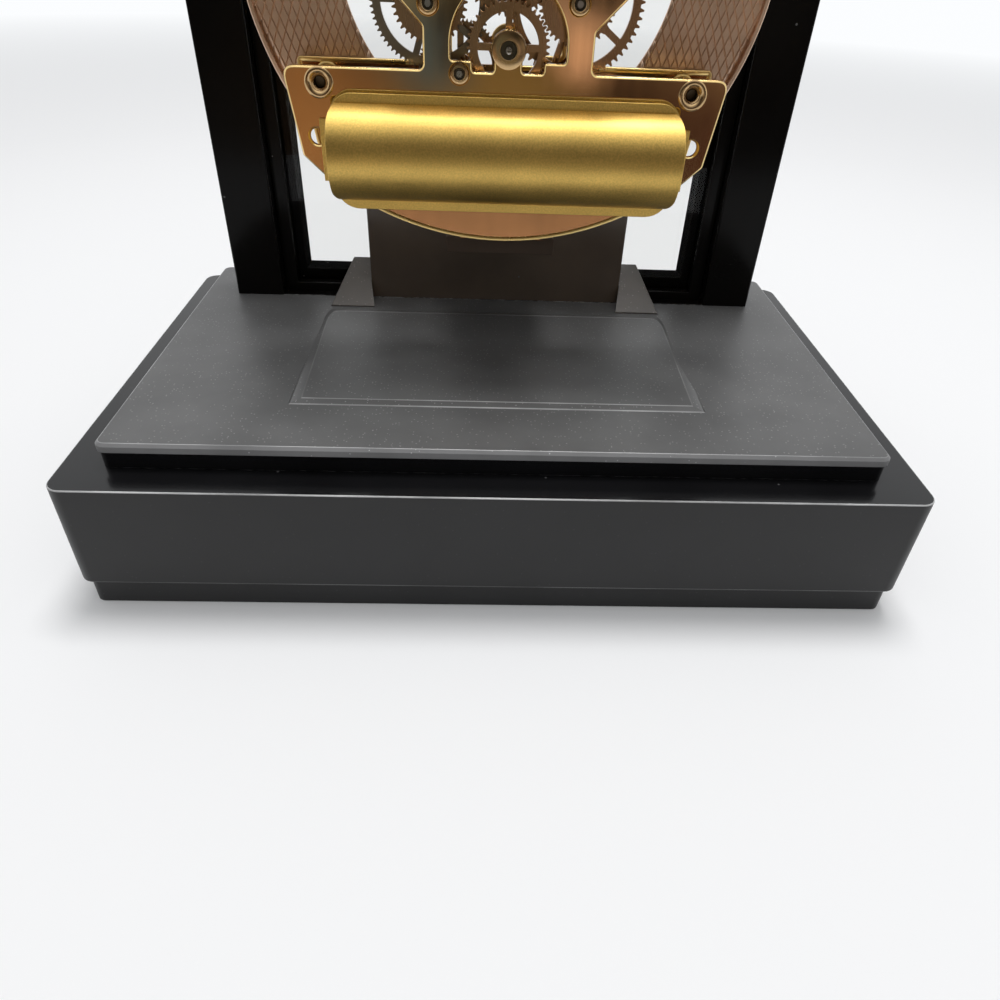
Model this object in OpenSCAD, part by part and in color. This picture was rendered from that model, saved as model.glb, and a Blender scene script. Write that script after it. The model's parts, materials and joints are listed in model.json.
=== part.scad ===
// Skeleton mantel clock: an open brass movement behind glass in an arched black case.
// Millimetres, +Z up, front faces -Y, origin under the middle of the base on the table.

/* [Base] */
// Width of the plinth
plinth_w = 154; // [146:1:180]
// Depth of the plinth, front to back
plinth_d = 98; // [92:1:120]
// Height of the plinth's top above the table
plinth_h = 27; // [20:0.5:40]
// Height of the recessed band at the foot of the plinth, above the table
skirt_h = 6; // [3:0.5:8]
// How far the recessed band is set in
skirt_inset = 1.2; // [0.6:0.1:2.5]
// Wall thickness of the hollow plinth
plinth_wall = 3; // [2:0.25:4]
// Corner radius of the plinth seen from above
plinth_corner_r = 3; // [1:0.5:6]
// Width of the deck plate
deck_w = 140; // [134:1:146]
// Depth of the deck plate, front to back
deck_d = 84.5; // [80:0.5:90]
// Thickness of the deck plate
deck_t = 5; // [4.5:0.25:8]
// Corner radius of the deck seen from above
deck_corner_r = 2; // [1:0.5:5]
// Width of the raised pad on the deck
pad_w = 79.4; // [60:1:100]
// Depth of the raised pad, front to back
pad_d = 44; // [30:1:46]
// Height of the raised pad
pad_h = 0.9; // [0.4:0.1:2]
// Width of the bevel along the pad's edges
pad_bevel = 2.2; // [1:0.1:4]
// Distance of the pad's rear edge behind the middle of the base
pad_rear_y = 27.25; // [24:0.25:32]
// Thickness of the bottom cover
bottom_t = 2; // [1.5:0.25:3]
// Height of the rubber feet
foot_h = 0.8; // [0.8:0.1:3]
// Radius of the rubber feet
foot_r = 7; // [4:0.5:10]
// Distance of the feet in from the plinth's sides
foot_inset = 18.5; // [17:0.5:26]

/* [Front frame] */
// Width of the frame over its posts
frame_w = 124; // [118:1:130]
// Width of the opening in the front lip
frame_open_w = 92.8; // [90:0.2:97]
// Width of the rabbet that holds the glass
rabbet_w = 102; // [99:0.5:108]
// Depth of the frame, front to back
frame_d = 11.8; // [10:0.2:16]
// Depth of the front lip
lip_d = 4.5; // [4.2:0.1:6]
// Height of the bottom lip above the deck
lip_h = 4.4; // [3:0.2:8]
// Width of the outer band that is set back at the front
band_w = 8; // [4:0.5:10]
// How far the outer band is set back
band_d = 2.5; // [1:0.25:4]
// Rear face of the frame, in front of the middle of the base
frame_rear = 24.45; // [22:0.25:28]
// Depth of the pocket in the deck that the frame stands in
frame_sink = 3; // [2:0.25:3.5]
// Thickness of the glass pane
glass_t = 2; // [1.5:0.25:3]
// Width of a glass clip along the rabbet
clip_w = 8; // [5:0.5:12]
// Thickness of a glass clip behind the glass
clip_t = 2; // [1:0.25:3]

/* [Pedestal] */
// Width of the pedestal block
pedestal_w = 59.6; // [50:0.2:66]
// Height of the pedestal block above the deck
pedestal_h = 22.4; // [20:0.2:23]
// Width of each ear beyond the block, at its rear edge
ear_w = 9.05; // [5:0.25:11]
// How much narrower each ear is at the glass
ear_taper = 4.5; // [2:0.25:5]
// Height of the ears at the glass
ear_h = 8; // [5:0.5:12]
// How far the ears reach behind the frame's rear face
ear_reach = 6; // [3:0.5:7]
// Width of the shelf that carries the movement
shelf_w = 22; // [20:1:48]
// Thickness of the shelf
shelf_t = 3.4; // [2.5:0.2:5]

/* [Movement plates] */
// Height of the dial's centre above the deck
dial_rise = 70; // [69:0.5:76]
// Rear face of the back plate, behind the middle of the base
back_plate_y = 9.75; // [8:0.25:12]
// Thickness of both plates
plate_t = 1.2; // [0.8:0.1:1.6]
// Free space between the two plates
plate_gap = 7.8; // [7.6:0.1:9]
// Width of the back plate at its top corners
plate_w = 74.8; // [72:0.2:80]
// Width of the back plate at its knees
knee_w = 70.4; // [69:0.2:72]
// Drop of the knees below the dial's centre
knee_drop = 30.4; // [29:0.2:32]
// Width of the back plate across the bottom of its cheeks
hip_w = 62.6; // [61.5:0.1:66]
// Drop of the cheeks' bottom below the dial's centre
hip_drop = 34.1; // [33:0.1:36]
// Drop of the plates' shoulders below the dial's centre
shoulder_drop = 16.6; // [16.2:0.1:17.2]
// How much narrower the front plate is at each of its shoulders
front_step = 0.9; // [0.5:0.1:1.4]
// Outer half-width of the two legs
leg_out = 14; // [13:0.2:15.5]
// Radius of the arch between the legs
arch_r = 9.5; // [8.5:0.1:10]
// Drop of the arch's centre below the dial's centre
arch_drop = 13; // [12:0.1:14]
// Width of the head that carries the upper arbors
head_w = 41; // [37:0.5:44]
// Height of the head's crown above the dial's centre
crown_rise = 16; // [15:0.5:18]
// Width of the crown
crown_w = 24; // [22:0.5:30]
// Radius of the front plate's round lower edge
apron_r = 55.5; // [54.5:0.25:57]
// Width of the front plate's foot on the shelf
foot_tab_w = 16; // [12:0.5:20]
// Length of the front plate's foot on the shelf
foot_tab_l = 9; // [8:0.5:12]
// Radius of the pillars between the plates
pillar_r = 1.8; // [1.4:0.1:2.2]
// Radius of the hole in a pillar's riveted end
pillar_hole_r = 0.8; // [0.5:0.05:1]

/* [Dial and hands] */
// Inner radius of the dial ring
dial_in_r = 28.65; // [27:0.25:30]
// Outer radius of the dial ring
dial_out_r = 44.9; // [43:0.1:45.4]
// Thickness of the dial ring
dial_t = 0.8; // [0.6:0.1:1.2]
// Width of the thin rim turned to the rear at the dial's edge
dial_rim = 0.7; // [0.5:0.1:1.2]
// Gap between the front plate and the dial
dial_gap = 1.8; // [1.6:0.1:2.5]
// Radius of the dial studs
stud_r = 1.2; // [0.8:0.1:1.6]
// Length of the hour hand from the centre
hour_hand_l = 25; // [20:0.5:27]
// Length of the minute hand from the centre
minute_hand_l = 38; // [32:0.5:41]
// Thickness of the hands
hand_t = 0.8; // [0.5:0.1:1]

/* [Gear train] */
// Thickness of every wheel
gear_t = 0.8; // [0.6:0.05:0.9]
// Spacing of the wheel layers
layer_pitch = 1.3; // [1.25:0.05:1.5]
// Radius of the arbors between the plates
arbor_r = 0.7; // [0.6:0.02:0.76]
// Radius of the pivots at the arbors' ends
pivot_r = 0.5; // [0.4:0.02:0.56]
// Wall of the bushes
bush_wall = 0.9; // [0.7:0.05:1.1]
// Radius of the bushes' flanges
bush_flange_r = 2.4; // [2:0.1:2.9]
// Thickness of the bushes' flanges
bush_flange_t = 0.5; // [0.3:0.05:0.7]
// Sideways place of the third arbor from the dial's centre
third_x = 13; // [12.6:0.1:13.4]
// Drop of the third arbor below the dial's centre
third_drop = 7.4; // [7:0.1:7.8]
// Sideways place of the minute arbor from the dial's centre
minute_x = -11; // [-11.4:0.1:-10.6]
// Drop of the minute arbor below the dial's centre
minute_drop = 6.8; // [6.4:0.1:7.2]
// Drop of the setting arbor below the dial's centre
setting_drop = 13.4; // [13.2:0.05:13.6]
// Sideways place of the drive arbor from the dial's centre
drive_x = 8; // [7.8:0.1:8.4]
// Drop of the drive arbor below the dial's centre
drive_drop = 17; // [16.8:0.1:17.2]
// Sideways place of the motor pinion from the dial's centre
motor_x = 16.2; // [15.8:0.1:16.6]
// Drop of the motor pinion below the dial's centre
motor_drop = 19.4; // [19.2:0.1:19.6]
// Teeth of the motor pinion
motor_teeth = 14; // [12:1:16]
// Teeth of the drive wheel
drive_wheel_teeth = 64; // [60:1:64]
// Teeth of the drive pinion
drive_pinion_teeth = 8; // [8:1:9]
// Teeth of the third wheel
third_wheel_teeth = 70; // [66:1:72]
// Teeth of the third pinion
third_pinion_teeth = 36; // [34:1:40]
// Teeth of the centre wheel
centre_wheel_teeth = 54; // [50:1:56]
// Teeth of the cannon pinion
cannon_teeth = 10; // [10:1:12]
// Teeth of the minute wheel
minute_wheel_teeth = 60; // [56:1:62]
// Teeth of the minute pinion
minute_pinion_teeth = 28; // [26:1:30]
// Teeth of the hour wheel
hour_wheel_teeth = 56; // [54:1:58]
// Teeth of the setting pinion
setting_pinion_teeth = 40; // [38:1:42]
// Teeth of the setting wheel
setting_wheel_teeth = 44; // [42:1:46]

/* [Battery] */
// Radius of the cell
cell_r = 7.25; // [7:0.05:7.4]
// Length of the cell with its cap
cell_l = 50.5; // [49:0.1:51]
// Drop of the cell's axis below the dial's centre
cell_drop = 29.35; // [29.2:0.05:29.6]
// Wall of the battery tray
tray_wall = 0.65; // [0.5:0.05:0.8]
// Free length in the tray beyond the cell, for the contacts
contact_room = 5.5; // [4.5:0.1:6]
// Wall of the battery cover
cover_wall = 0.8; // [0.6:0.05:1]
// Width of the flat lip above and below the cover's round part
cover_lip = 1.3; // [0.8:0.1:1.5]
// Corner radius of the cover
cover_corner_r = 4; // [2:0.25:5]

/* [Fits] */
// Free radius between a pivot and its bush
running_fit = 0.04; // [0.02:0.01:0.08]
// Free gap round pieces that are seated in one another
seat_gap = 0.1; // [0.05:0.01:0.2]
// Free radius between pressed or fixed round pieces
press_gap = 0.02; // [0.01:0.01:0.04]
// Free gap round pieces that come apart by hand
loose_gap = 0.3; // [0.2:0.05:0.4]
// Share of a tooth's width given to backlash
backlash = 0.25; // [0.2:0.01:0.32]

/* [Hidden] */
$fn = 64;

// Heights and depths that follow from the sizes above
deck_top = plinth_h + deck_t;
dial_z = deck_top + dial_rise;
frame_rear_y = -frame_rear;
frame_front_y = frame_rear_y - frame_d;
lip_rear_y = frame_front_y + lip_d;
glass_rear_y = lip_rear_y + glass_t;
back_plate_in_y = back_plate_y - plate_t;
front_plate_in_y = back_plate_in_y - plate_gap;
front_plate_y = front_plate_in_y - plate_t;
dial_rear_y = front_plate_y - dial_gap;
dial_front_y = dial_rear_y - dial_t;
shelf_setback = 2;
shelf_rear_y = front_plate_y - shelf_setback;
shelf_top = deck_top + pedestal_h;

// Screws, shared sizes
screw_r = 1.5;
screw_head_r = 2.8;
screw_head_h = 1.8;
small_screw_r = 1;
small_head_r = 1.9;
small_head_h = 1.1;

// Places of the screws, feet and clips
foot_x = plinth_w / 2 - foot_inset;
foot_y = plinth_d / 2 - foot_inset;
corner_screw_inset = 9.5;
corner_screw_x = plinth_w / 2 - corner_screw_inset;
corner_screw_y = plinth_d / 2 - corner_screw_inset;
boss_r = 3.6;
corner_screw_l = 10;
deck_screw_x = deck_w / 2 - 12;
deck_screw_y = deck_d / 2 - 10;
deck_screw_bite = 2.6;
frame_screw_x = (frame_w + rabbet_w) / 4;
frame_screw_y = frame_rear_y - frame_d / 2;
frame_screw_bite = 12;
pedestal_screw_x = pedestal_w / 2 - 8;
pedestal_screw_y = (frame_rear_y + glass_rear_y) / 2;
pedestal_screw_bite = 9;
plinth_roof = plinth_h - plinth_wall;
deck_screw_at = [deck_screw_x, deck_screw_y];
frame_screw_at = [frame_screw_x, frame_screw_y];
pedestal_screw_at = [pedestal_screw_x, pedestal_screw_y];
roof_holes = [deck_screw_at, frame_screw_at, pedestal_screw_at];
clip_angles = [25, 65, 115, 155];

// Places of the arbors in the movement, [sideways, up] from the dial's centre
centre_at = [0, 0];
third_at = [third_x, -third_drop];
minute_at = [minute_x, -minute_drop];
setting_at = [0, -setting_drop];
drive_at = [drive_x, -drive_drop];
motor_at = [motor_x, -motor_drop];
arbors = [centre_at, third_at, minute_at, setting_at, drive_at];

// Places of the movement's fixings, [sideways, up] from the dial's centre
pillar_x = 31.2;
pillar_drop = 19;
head_pillar_x = 9;
head_pillar_rise = 12;
pillars_at = [for (s = [-1, 1]) each [[s * pillar_x, -pillar_drop], [s * head_pillar_x, head_pillar_rise]]];
low_stud_x = 20;
low_stud_drop = 31.5;
side_stud_x = 28.5;
side_stud_drop = 23.5;
studs_at = [for (s = [-1, 1]) each [[s * low_stud_x, -low_stud_drop], [s * side_stud_x, -side_stud_drop]]];
cheek_hole_x = 32.3;
cheek_hole_drop = 27.3;
cheek_hole_r = 1.3;
tab_screw_y = front_plate_y - foot_tab_l * 0.6;

// Outline of the plates
head_lift = 2.4;
crown_fall = 10;
apron_half_w = 19;
apron_drop = 50;
apron_clear = 0.3;
plate_corner_r = 0.8;
ledge_w = 3.6;
ledge_drop = 2.1;
sill_drop = 0.1;
tongue_half_w = 2.35;
bush_land = 0.5;
crown_slot_r = 10.4;
crown_slot_in_r = 6.2;
crown_slot_rise = 2.6;

// Wheel layers, counted from the front plate
layer_start = 1.1;
hour_layer = 0;
main_layer = 1;
centre_layer = 2;
setting_layer = 3;
end_shake = 0.15;
bush_r = pivot_r + running_fit + bush_wall;
pipe_in_r = arbor_r + running_fit;
pipe_r = pipe_in_r + 0.56;
pipe_bush_r = pipe_r + running_fit + bush_wall;
hour_hand_y = dial_front_y - 2.4 - hand_t;
minute_hand_y = hour_hand_y - 1.6 - hand_t;
nut_h = 2;
nut_r = 1.6;

// Battery bay
tray_in_r = cell_r + 0.2;
tray_r = tray_in_r + tray_wall;
tray_half = (cell_l + contact_room) / 2;
tray_end_t = 1.2;
tray_out = tray_half + tray_end_t;
tray_flange_t = 0.6;
cover_in_r = cell_r + 0.25;
cover_r = cover_in_r + cover_wall;
cover_half = tray_out + 0.6;
cover_h = 2 * (cover_r + cover_lip);
cover_front_y = back_plate_y + tray_flange_t + loose_gap;
tab_w = 1.9;
tab_h = 10;
contact_t = 0.4;
cell_z = dial_z - cell_drop;
bay_top = cell_z + tray_r + loose_gap;
bay_room = 3.1;
bay_end = pillar_x - pillar_r - loose_gap;
board_t = 0.8;

// Tooth proportions
addendum = 0.75;
dedendum = 1.05;
flank = tan(20);

// A point list and its mirror image, as one closed outline
function mirrored(half) = concat(half, [for (i = [len(half) - 1:-1:0]) [-half[i][0], half[i][1]]]);
function unit(v) = v / norm(v);
function turned(v, a) = [v[0] * cos(a) - v[1] * sin(a), v[0] * sin(a) + v[1] * cos(a)];

// The arc that rounds corner p between neighbours a and b
function corner_arc(a, p, b, r, steps = 6) =
    let (u = unit(a - p),
         v = unit(b - p),
         half = acos(u * v) / 2,
         c = p + unit(u + v) * r / sin(half),
         s = p + u * r / tan(half) - c,
         sweep = (cross(u, v) < 0 ? 1 : -1) * (180 - 2 * half))
    [for (k = [0:steps]) c + turned(s, sweep * k / steps)];
function rounded(pts, r) =
    let (n = len(pts))
    [for (i = [0:n - 1]) each corner_arc(pts[(i + n - 1) % n], pts[i], pts[(i + 1) % n], r)];

// Gears: module from the distance of the two arbors, teeth facing gaps on the line of centres
function heading(a, b) = atan2(b[1] - a[1], b[0] - a[0]);
function pair_module(a, b, n1, n2) = 2 * norm(b - a) / (n1 + n2);
function gear_points(n, m, phase) =
    let (rp = n * m / 2,
         half = 90 / n * (1 - backlash),
         tip = half - addendum * m * flank / rp * 180 / PI,
         root = min(half + dedendum * m * flank / rp * 180 / PI, 162 / n),
         tooth = [[-root, rp - dedendum * m], [-tip, rp + addendum * m],
                  [tip, rp + addendum * m], [root, rp - dedendum * m]])
    [for (i = [0:n - 1]) for (p = tooth)
        p[1] * [cos(phase + 360 * i / n + p[0]), sin(phase + 360 * i / n + p[0])]];
function layer_y(i) = front_plate_in_y + layer_start + i * layer_pitch;

motor_m = pair_module(motor_at, drive_at, motor_teeth, drive_wheel_teeth);
third_m = pair_module(drive_at, third_at, drive_pinion_teeth, third_wheel_teeth);
centre_m = pair_module(third_at, centre_at, third_pinion_teeth, centre_wheel_teeth);
minute_m = pair_module(centre_at, minute_at, cannon_teeth, minute_wheel_teeth);
hour_m = pair_module(minute_at, centre_at, minute_pinion_teeth, hour_wheel_teeth);
setting_m = pair_module(minute_at, setting_at, setting_pinion_teeth, setting_wheel_teeth);

// Stands a drawing in the X-Z plane and thickens it from y0 towards the rear
module upright(y0, t) {
    translate([0, y0 + t, 0]) rotate([90, 0, 0]) linear_extrude(t) children();
}

// As upright, with the drawing's origin at the dial's centre
module on_dial(y0, t) {
    upright(y0, t) translate([0, dial_z]) children();
}

// Round bar along Y at a place seen from the dial's centre
module bar(at, r, y0, y1) {
    translate([at[0], y1, dial_z + at[1]]) rotate([90, 0, 0]) cylinder(r = r, h = y1 - y0);
}

module rounded_rect(w, h, r) {
    square([w, h - 2 * r], center = true);
    square([w - 2 * r, h], center = true);
    for (x = [-1, 1], y = [-1, 1]) translate([x * (w / 2 - r), y * (h / 2 - r)]) circle(r);
}

module slab(w, d, r, z0, z1) {
    translate([0, 0, z0]) linear_extrude(z1 - z0) rounded_rect(w, d, r);
}

// Tombstone outline with its arch about the dial's centre
module arch_shape(half_w, bottom) {
    translate([-half_w, bottom]) square([2 * half_w, dial_z - bottom]);
    translate([0, dial_z]) circle(half_w, $fn = 128);
}

// Screw driven upwards, head below z
module screw_up(x, y, z, l, r, head_r, head_h) {
    translate([x, y, z]) cylinder(r = r, h = l);
    translate([x, y, z - head_h]) difference() {
        cylinder(r = head_r, h = head_h);
        translate([-head_r, -0.4, -0.01]) cube([2 * head_r, 0.8, 0.7]);
    }
}

module bore_up(x, y, z, l, r) {
    translate([x, y, z]) cylinder(r = r, h = l);
}

// Case

module plinth() {
    inner_w = plinth_w - 2 * (skirt_inset + plinth_wall);
    inner_d = plinth_d - 2 * (skirt_inset + plinth_wall);
    color("#141414") difference() {
        union() {
            difference() {
                union() {
                    slab(plinth_w, plinth_d, plinth_corner_r, skirt_h, plinth_h);
                    slab(plinth_w - 2 * skirt_inset, plinth_d - 2 * skirt_inset, plinth_corner_r,
                        foot_h, skirt_h);
                }
                slab(inner_w, inner_d, plinth_corner_r, 0, plinth_roof);
            }
            for (x = [-1, 1], y = [-1, 1])
                translate([x * corner_screw_x, y * corner_screw_y, foot_h + bottom_t])
                    cylinder(r = boss_r, h = plinth_roof - foot_h - bottom_t);
        }
        for (x = [-1, 1], y = [-1, 1])
            bore_up(x * corner_screw_x, y * corner_screw_y, 0, corner_screw_l + foot_h + 1,
                screw_r + press_gap);
        for (x = [-1, 1], at = roof_holes)
            bore_up(x * at[0], at[1], plinth_roof - 1, plinth_wall + 2, screw_r + seat_gap);
    }
}

module bottom_cover() {
    edge = skirt_inset + plinth_wall + loose_gap;
    color("#202020") difference() {
        slab(plinth_w - 2 * edge, plinth_d - 2 * edge, plinth_corner_r, foot_h, foot_h + bottom_t);
        for (x = [-1, 1], y = [-1, 1])
            bore_up(x * corner_screw_x, y * corner_screw_y, 0, foot_h + bottom_t + 1, screw_r + seat_gap);
    }
}

module bottom_screws() {
    head_h = foot_h * 0.6;
    color("silver") for (x = [-1, 1], y = [-1, 1])
        screw_up(x * corner_screw_x, y * corner_screw_y, foot_h, corner_screw_l,
            screw_r, screw_head_r, head_h);
}

module rubber_feet() {
    color("#2a2a2a") for (x = [-1, 1], y = [-1, 1])
        translate([x * foot_x, y * foot_y, 0]) cylinder(r = foot_r, h = foot_h);
}

// The pad's bevelled form: two prisms with sloped sides, crossed
function pad_profile(w) =
    [[-w / 2, 0], [w / 2, 0], [w / 2 - pad_bevel, pad_h], [-w / 2 + pad_bevel, pad_h]];
module deck_pad() {
    intersection() {
        translate([0, pad_rear_y, deck_top]) rotate([90, 0, 0]) linear_extrude(pad_d)
            polygon(pad_profile(pad_w));
        translate([-pad_w / 2, pad_rear_y - pad_d / 2, deck_top]) rotate([90, 0, 90]) linear_extrude(pad_w)
            polygon(pad_profile(pad_d));
    }
}

module deck() {
    color("#1c1c1c") difference() {
        union() {
            slab(deck_w, deck_d, deck_corner_r, plinth_h, deck_top);
            deck_pad();
        }
        translate([-frame_w / 2 - seat_gap, frame_front_y - seat_gap, deck_top - frame_sink])
            cube([frame_w + 2 * seat_gap, frame_d + 2 * seat_gap, frame_sink + 1]);
        for (x = [-1, 1]) {
            bore_up(x * deck_screw_x, deck_screw_y, plinth_h - 1, deck_screw_bite + 1, screw_r + press_gap);
            for (at = [frame_screw_at, pedestal_screw_at])
                bore_up(x * at[0], at[1], plinth_h - 1, deck_t + 2, screw_r + seat_gap);
        }
    }
}

module deck_screws() {
    color("silver") for (x = [-1, 1])
        screw_up(x * deck_screw_x, deck_screw_y, plinth_roof, plinth_wall + deck_screw_bite,
            screw_r, screw_head_r, screw_head_h);
}

module front_frame() {
    frame_bottom = deck_top - frame_sink;
    color("#101010") difference() {
        upright(frame_front_y, frame_d) arch_shape(frame_w / 2, frame_bottom);
        upright(frame_front_y - 1, frame_d + 2) arch_shape(frame_open_w / 2, deck_top + lip_h);
        upright(lip_rear_y, frame_d) arch_shape(rabbet_w / 2, deck_top);
        upright(frame_front_y - 1, band_d + 1) difference() {
            arch_shape(frame_w, deck_top);
            arch_shape(frame_w / 2 - band_w, deck_top - 1);
        }
        for (x = [-1, 1]) {
            bore_up(x * frame_screw_x, frame_screw_y, frame_bottom - 1, frame_screw_bite + 1,
                screw_r + press_gap);
            bore_up(x * pedestal_screw_x, pedestal_screw_y, frame_bottom - 1, frame_sink + 2,
                screw_r + seat_gap);
        }
    }
}

module frame_screws() {
    color("silver") for (x = [-1, 1])
        screw_up(x * frame_screw_x, frame_screw_y, plinth_roof,
            plinth_wall + deck_t - frame_sink + frame_screw_bite - 0.5, screw_r, screw_head_r, screw_head_h);
}

module glass_pane() {
    color("lightblue", 0.3) upright(lip_rear_y, glass_t) arch_shape(rabbet_w / 2 - seat_gap, deck_top);
}

module glass_clips() {
    clip_in = frame_open_w / 2 + 1;
    color("#181818") for (a = clip_angles)
        on_dial(glass_rear_y, clip_t) rotate(a) intersection() {
            translate([clip_in, -clip_w / 2]) square([rabbet_w, clip_w]);
            circle(rabbet_w / 2 - seat_gap, $fn = 128);
        }
}

// One sloped ear: a ramp along Y, trimmed to its tapered outline seen from above
module ear(side) {
    root_x = pedestal_w / 2 - 1;
    ear_rear = frame_rear_y + ear_reach;
    intersection() {
        translate([side > 0 ? 0 : -pedestal_w, 0, deck_top]) rotate([90, 0, 90]) linear_extrude(pedestal_w)
            polygon([[ear_rear, 0], [glass_rear_y, ear_h], [glass_rear_y, 0]]);
        translate([0, 0, deck_top]) linear_extrude(ear_h)
            polygon([[side * root_x, ear_rear], [side * (pedestal_w / 2 + ear_w), ear_rear],
                [side * (pedestal_w / 2 + ear_w - ear_taper), glass_rear_y], [side * root_x, glass_rear_y]]);
    }
}

module pedestal() {
    block_d = frame_rear_y - glass_rear_y;
    color("#121212") difference() {
        union() {
            translate([-pedestal_w / 2, glass_rear_y, deck_top]) cube([pedestal_w, block_d, pedestal_h]);
            translate([-shelf_w / 2, glass_rear_y, shelf_top - shelf_t])
                cube([shelf_w, shelf_rear_y - glass_rear_y, shelf_t]);
            for (side = [-1, 1]) ear(side);
        }
        for (x = [-1, 1]) {
            bore_up(x * pedestal_screw_x, pedestal_screw_y, deck_top - 1, pedestal_screw_bite + 1,
                screw_r + press_gap);
            bore_up(x * foot_tab_w / 4, tab_screw_y, shelf_top - shelf_t - 1, shelf_t + 2,
                small_screw_r + press_gap);
        }
    }
}

module pedestal_screws() {
    color("silver") for (x = [-1, 1])
        screw_up(x * pedestal_screw_x, pedestal_screw_y, plinth_roof,
            plinth_wall + deck_t + pedestal_screw_bite - 0.5, screw_r, screw_head_r, screw_head_h);
}

// Movement plates

// Legs and head shared by both plates, right half, from the shoulder up
function upper_half(step) = [
    [plate_w / 2 - step, -shoulder_drop],
    [leg_out, -shoulder_drop],
    [leg_out, -arch_drop + head_lift],
    [head_w / 2, -arch_drop + head_lift + head_w / 2 - leg_out],
    [head_w / 2, crown_rise - crown_fall],
    [crown_w / 2, crown_rise]
];

// Arch between the legs with its stepped sill and the tongue that carries the setting bush
module arch_opening() {
    ledge = -arch_drop - ledge_drop;
    sill = -shoulder_drop - sill_drop;
    difference() {
        union() {
            translate([0, -arch_drop]) circle(arch_r);
            translate([-arch_r, ledge]) square([2 * arch_r, -arch_drop - ledge]);
            translate([-arch_r + ledge_w, sill]) square([2 * (arch_r - ledge_w), ledge - sill + sill_drop]);
        }
        translate([-arch_r, sill - arch_r]) square([2 * arch_r, arch_r]);
        for (s = [-1, 1]) translate([s * (arch_r - ledge_w / 2), (sill + ledge) / 2])
            square([ledge_w, ledge - sill], center = true);
        translate([-tongue_half_w, sill]) square([2 * tongue_half_w, -setting_drop - sill]);
        translate(setting_at) circle(bush_flange_r + bush_land);
    }
}

// Round slot over the centre
module crown_slot() {
    intersection() {
        difference() {
            circle(crown_slot_r);
            circle(crown_slot_in_r);
        }
        translate([-crown_slot_r, crown_slot_rise]) square([2 * crown_slot_r, crown_slot_r]);
    }
}

module plate_cuts(centre_r) {
    arch_opening();
    crown_slot();
    for (at = arbors) translate(at) circle((at == centre_at ? centre_r : bush_r) + press_gap);
    for (at = pillars_at) translate(at) circle(pillar_r - 0.6 + press_gap);
}

module front_plate() {
    lower = [[apron_half_w, -apron_drop], [knee_w / 2 - front_step, -knee_drop]];
    foot_rise = 4;
    tab_z = shelf_top - dial_z;
    color("#c98a4b") {
        difference() {
            union() {
                on_dial(front_plate_y, plate_t) difference() {
                    intersection() {
                        polygon(rounded(mirrored(concat(lower, upper_half(front_step))), plate_corner_r));
                        translate([0, apron_r - dial_rise + pedestal_h + apron_clear])
                            circle(apron_r, $fn = 128);
                    }
                    plate_cuts(pipe_bush_r);
                }
                on_dial(front_plate_y, plate_t) translate([-foot_tab_w / 2, tab_z])
                    square([foot_tab_w, foot_rise]);
                translate([-foot_tab_w / 2, front_plate_y - foot_tab_l, shelf_top])
                    cube([foot_tab_w, foot_tab_l + plate_t, plate_t]);
            }
            for (x = [-1, 1])
                bore_up(x * foot_tab_w / 4, tab_screw_y, shelf_top - 1, plate_t + 2,
                    small_screw_r + seat_gap);
        }
    }
}

module back_plate() {
    lower = [[hip_w / 2, -hip_drop], [knee_w / 2, -knee_drop]];
    window_w = 2 * (tray_out + seat_gap);
    window_top = tray_r + seat_gap - cell_drop;
    color("#c98a4b") on_dial(back_plate_in_y, plate_t) difference() {
        polygon(rounded(mirrored(concat(lower, upper_half(0))), plate_corner_r));
        plate_cuts(bush_r);
        translate([-window_w / 2, -2 * hip_drop]) square([window_w, window_top + 2 * hip_drop]);
        for (s = [-1, 1]) translate([s * cheek_hole_x, -cheek_hole_drop]) circle(cheek_hole_r);
    }
}

// Pillars: a body between the plates and two hollow ends rolled over outside
module pillars() {
    end_r = pillar_r - 0.6;
    rivet_lap = 0.6;
    rivet_r = pillar_r + rivet_lap;
    rivet_t = 0.4;
    color("#d8b070") difference() {
        for (at = pillars_at) {
            bar(at, pillar_r, front_plate_in_y, back_plate_in_y);
            bar(at, end_r, front_plate_y - rivet_t, back_plate_y + rivet_t);
            bar(at, rivet_r, front_plate_y - rivet_t, front_plate_y);
            bar(at, rivet_r, back_plate_y, back_plate_y + rivet_t);
        }
        for (at = pillars_at) bar(at, pillar_hole_r, back_plate_in_y, back_plate_y + 1);
    }
}

module movement_screws() {
    color("silver") for (x = [-1, 1]) translate([x * foot_tab_w / 4, tab_screw_y, shelf_top + plate_t])
        mirror([0, 0, 1])
            screw_up(0, 0, 0, plate_t + shelf_t - 0.4, small_screw_r, small_head_r, small_head_h);
}

module bush(at, y_face, out, body_r, bore_r, flange_r) {
    y0 = out < 0 ? y_face - bush_flange_t : y_face - plate_t;
    flange_y = out < 0 ? y0 : y_face;
    difference() {
        union() {
            bar(at, body_r, y0, y0 + plate_t + bush_flange_t);
            bar(at, flange_r, flange_y, flange_y + bush_flange_t);
        }
        bar(at, bore_r, y0 - 1, y0 + plate_t + bush_flange_t + 1);
    }
}

module front_bushes() {
    color("#e0c080") for (at = arbors) {
        hub = at == centre_at;
        bush(at, front_plate_y, -1, hub ? pipe_bush_r : bush_r,
            (hub ? pipe_r : pivot_r) + running_fit, hub ? pipe_bush_r + 0.8 : bush_flange_r);
    }
}

module rear_bushes() {
    color("#e0c080") for (at = arbors)
        bush(at, back_plate_y, 1, bush_r, pivot_r + running_fit, bush_flange_r);
}

// Dial

module dial() {
    color("#c8924c") {
        on_dial(dial_front_y, dial_t) difference() {
            circle(dial_out_r, $fn = 160);
            circle(dial_in_r, $fn = 160);
        }
        on_dial(dial_rear_y, dial_gap * 0.6) difference() {
            circle(dial_out_r, $fn = 160);
            circle(dial_out_r - dial_rim, $fn = 160);
        }
    }
}

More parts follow.
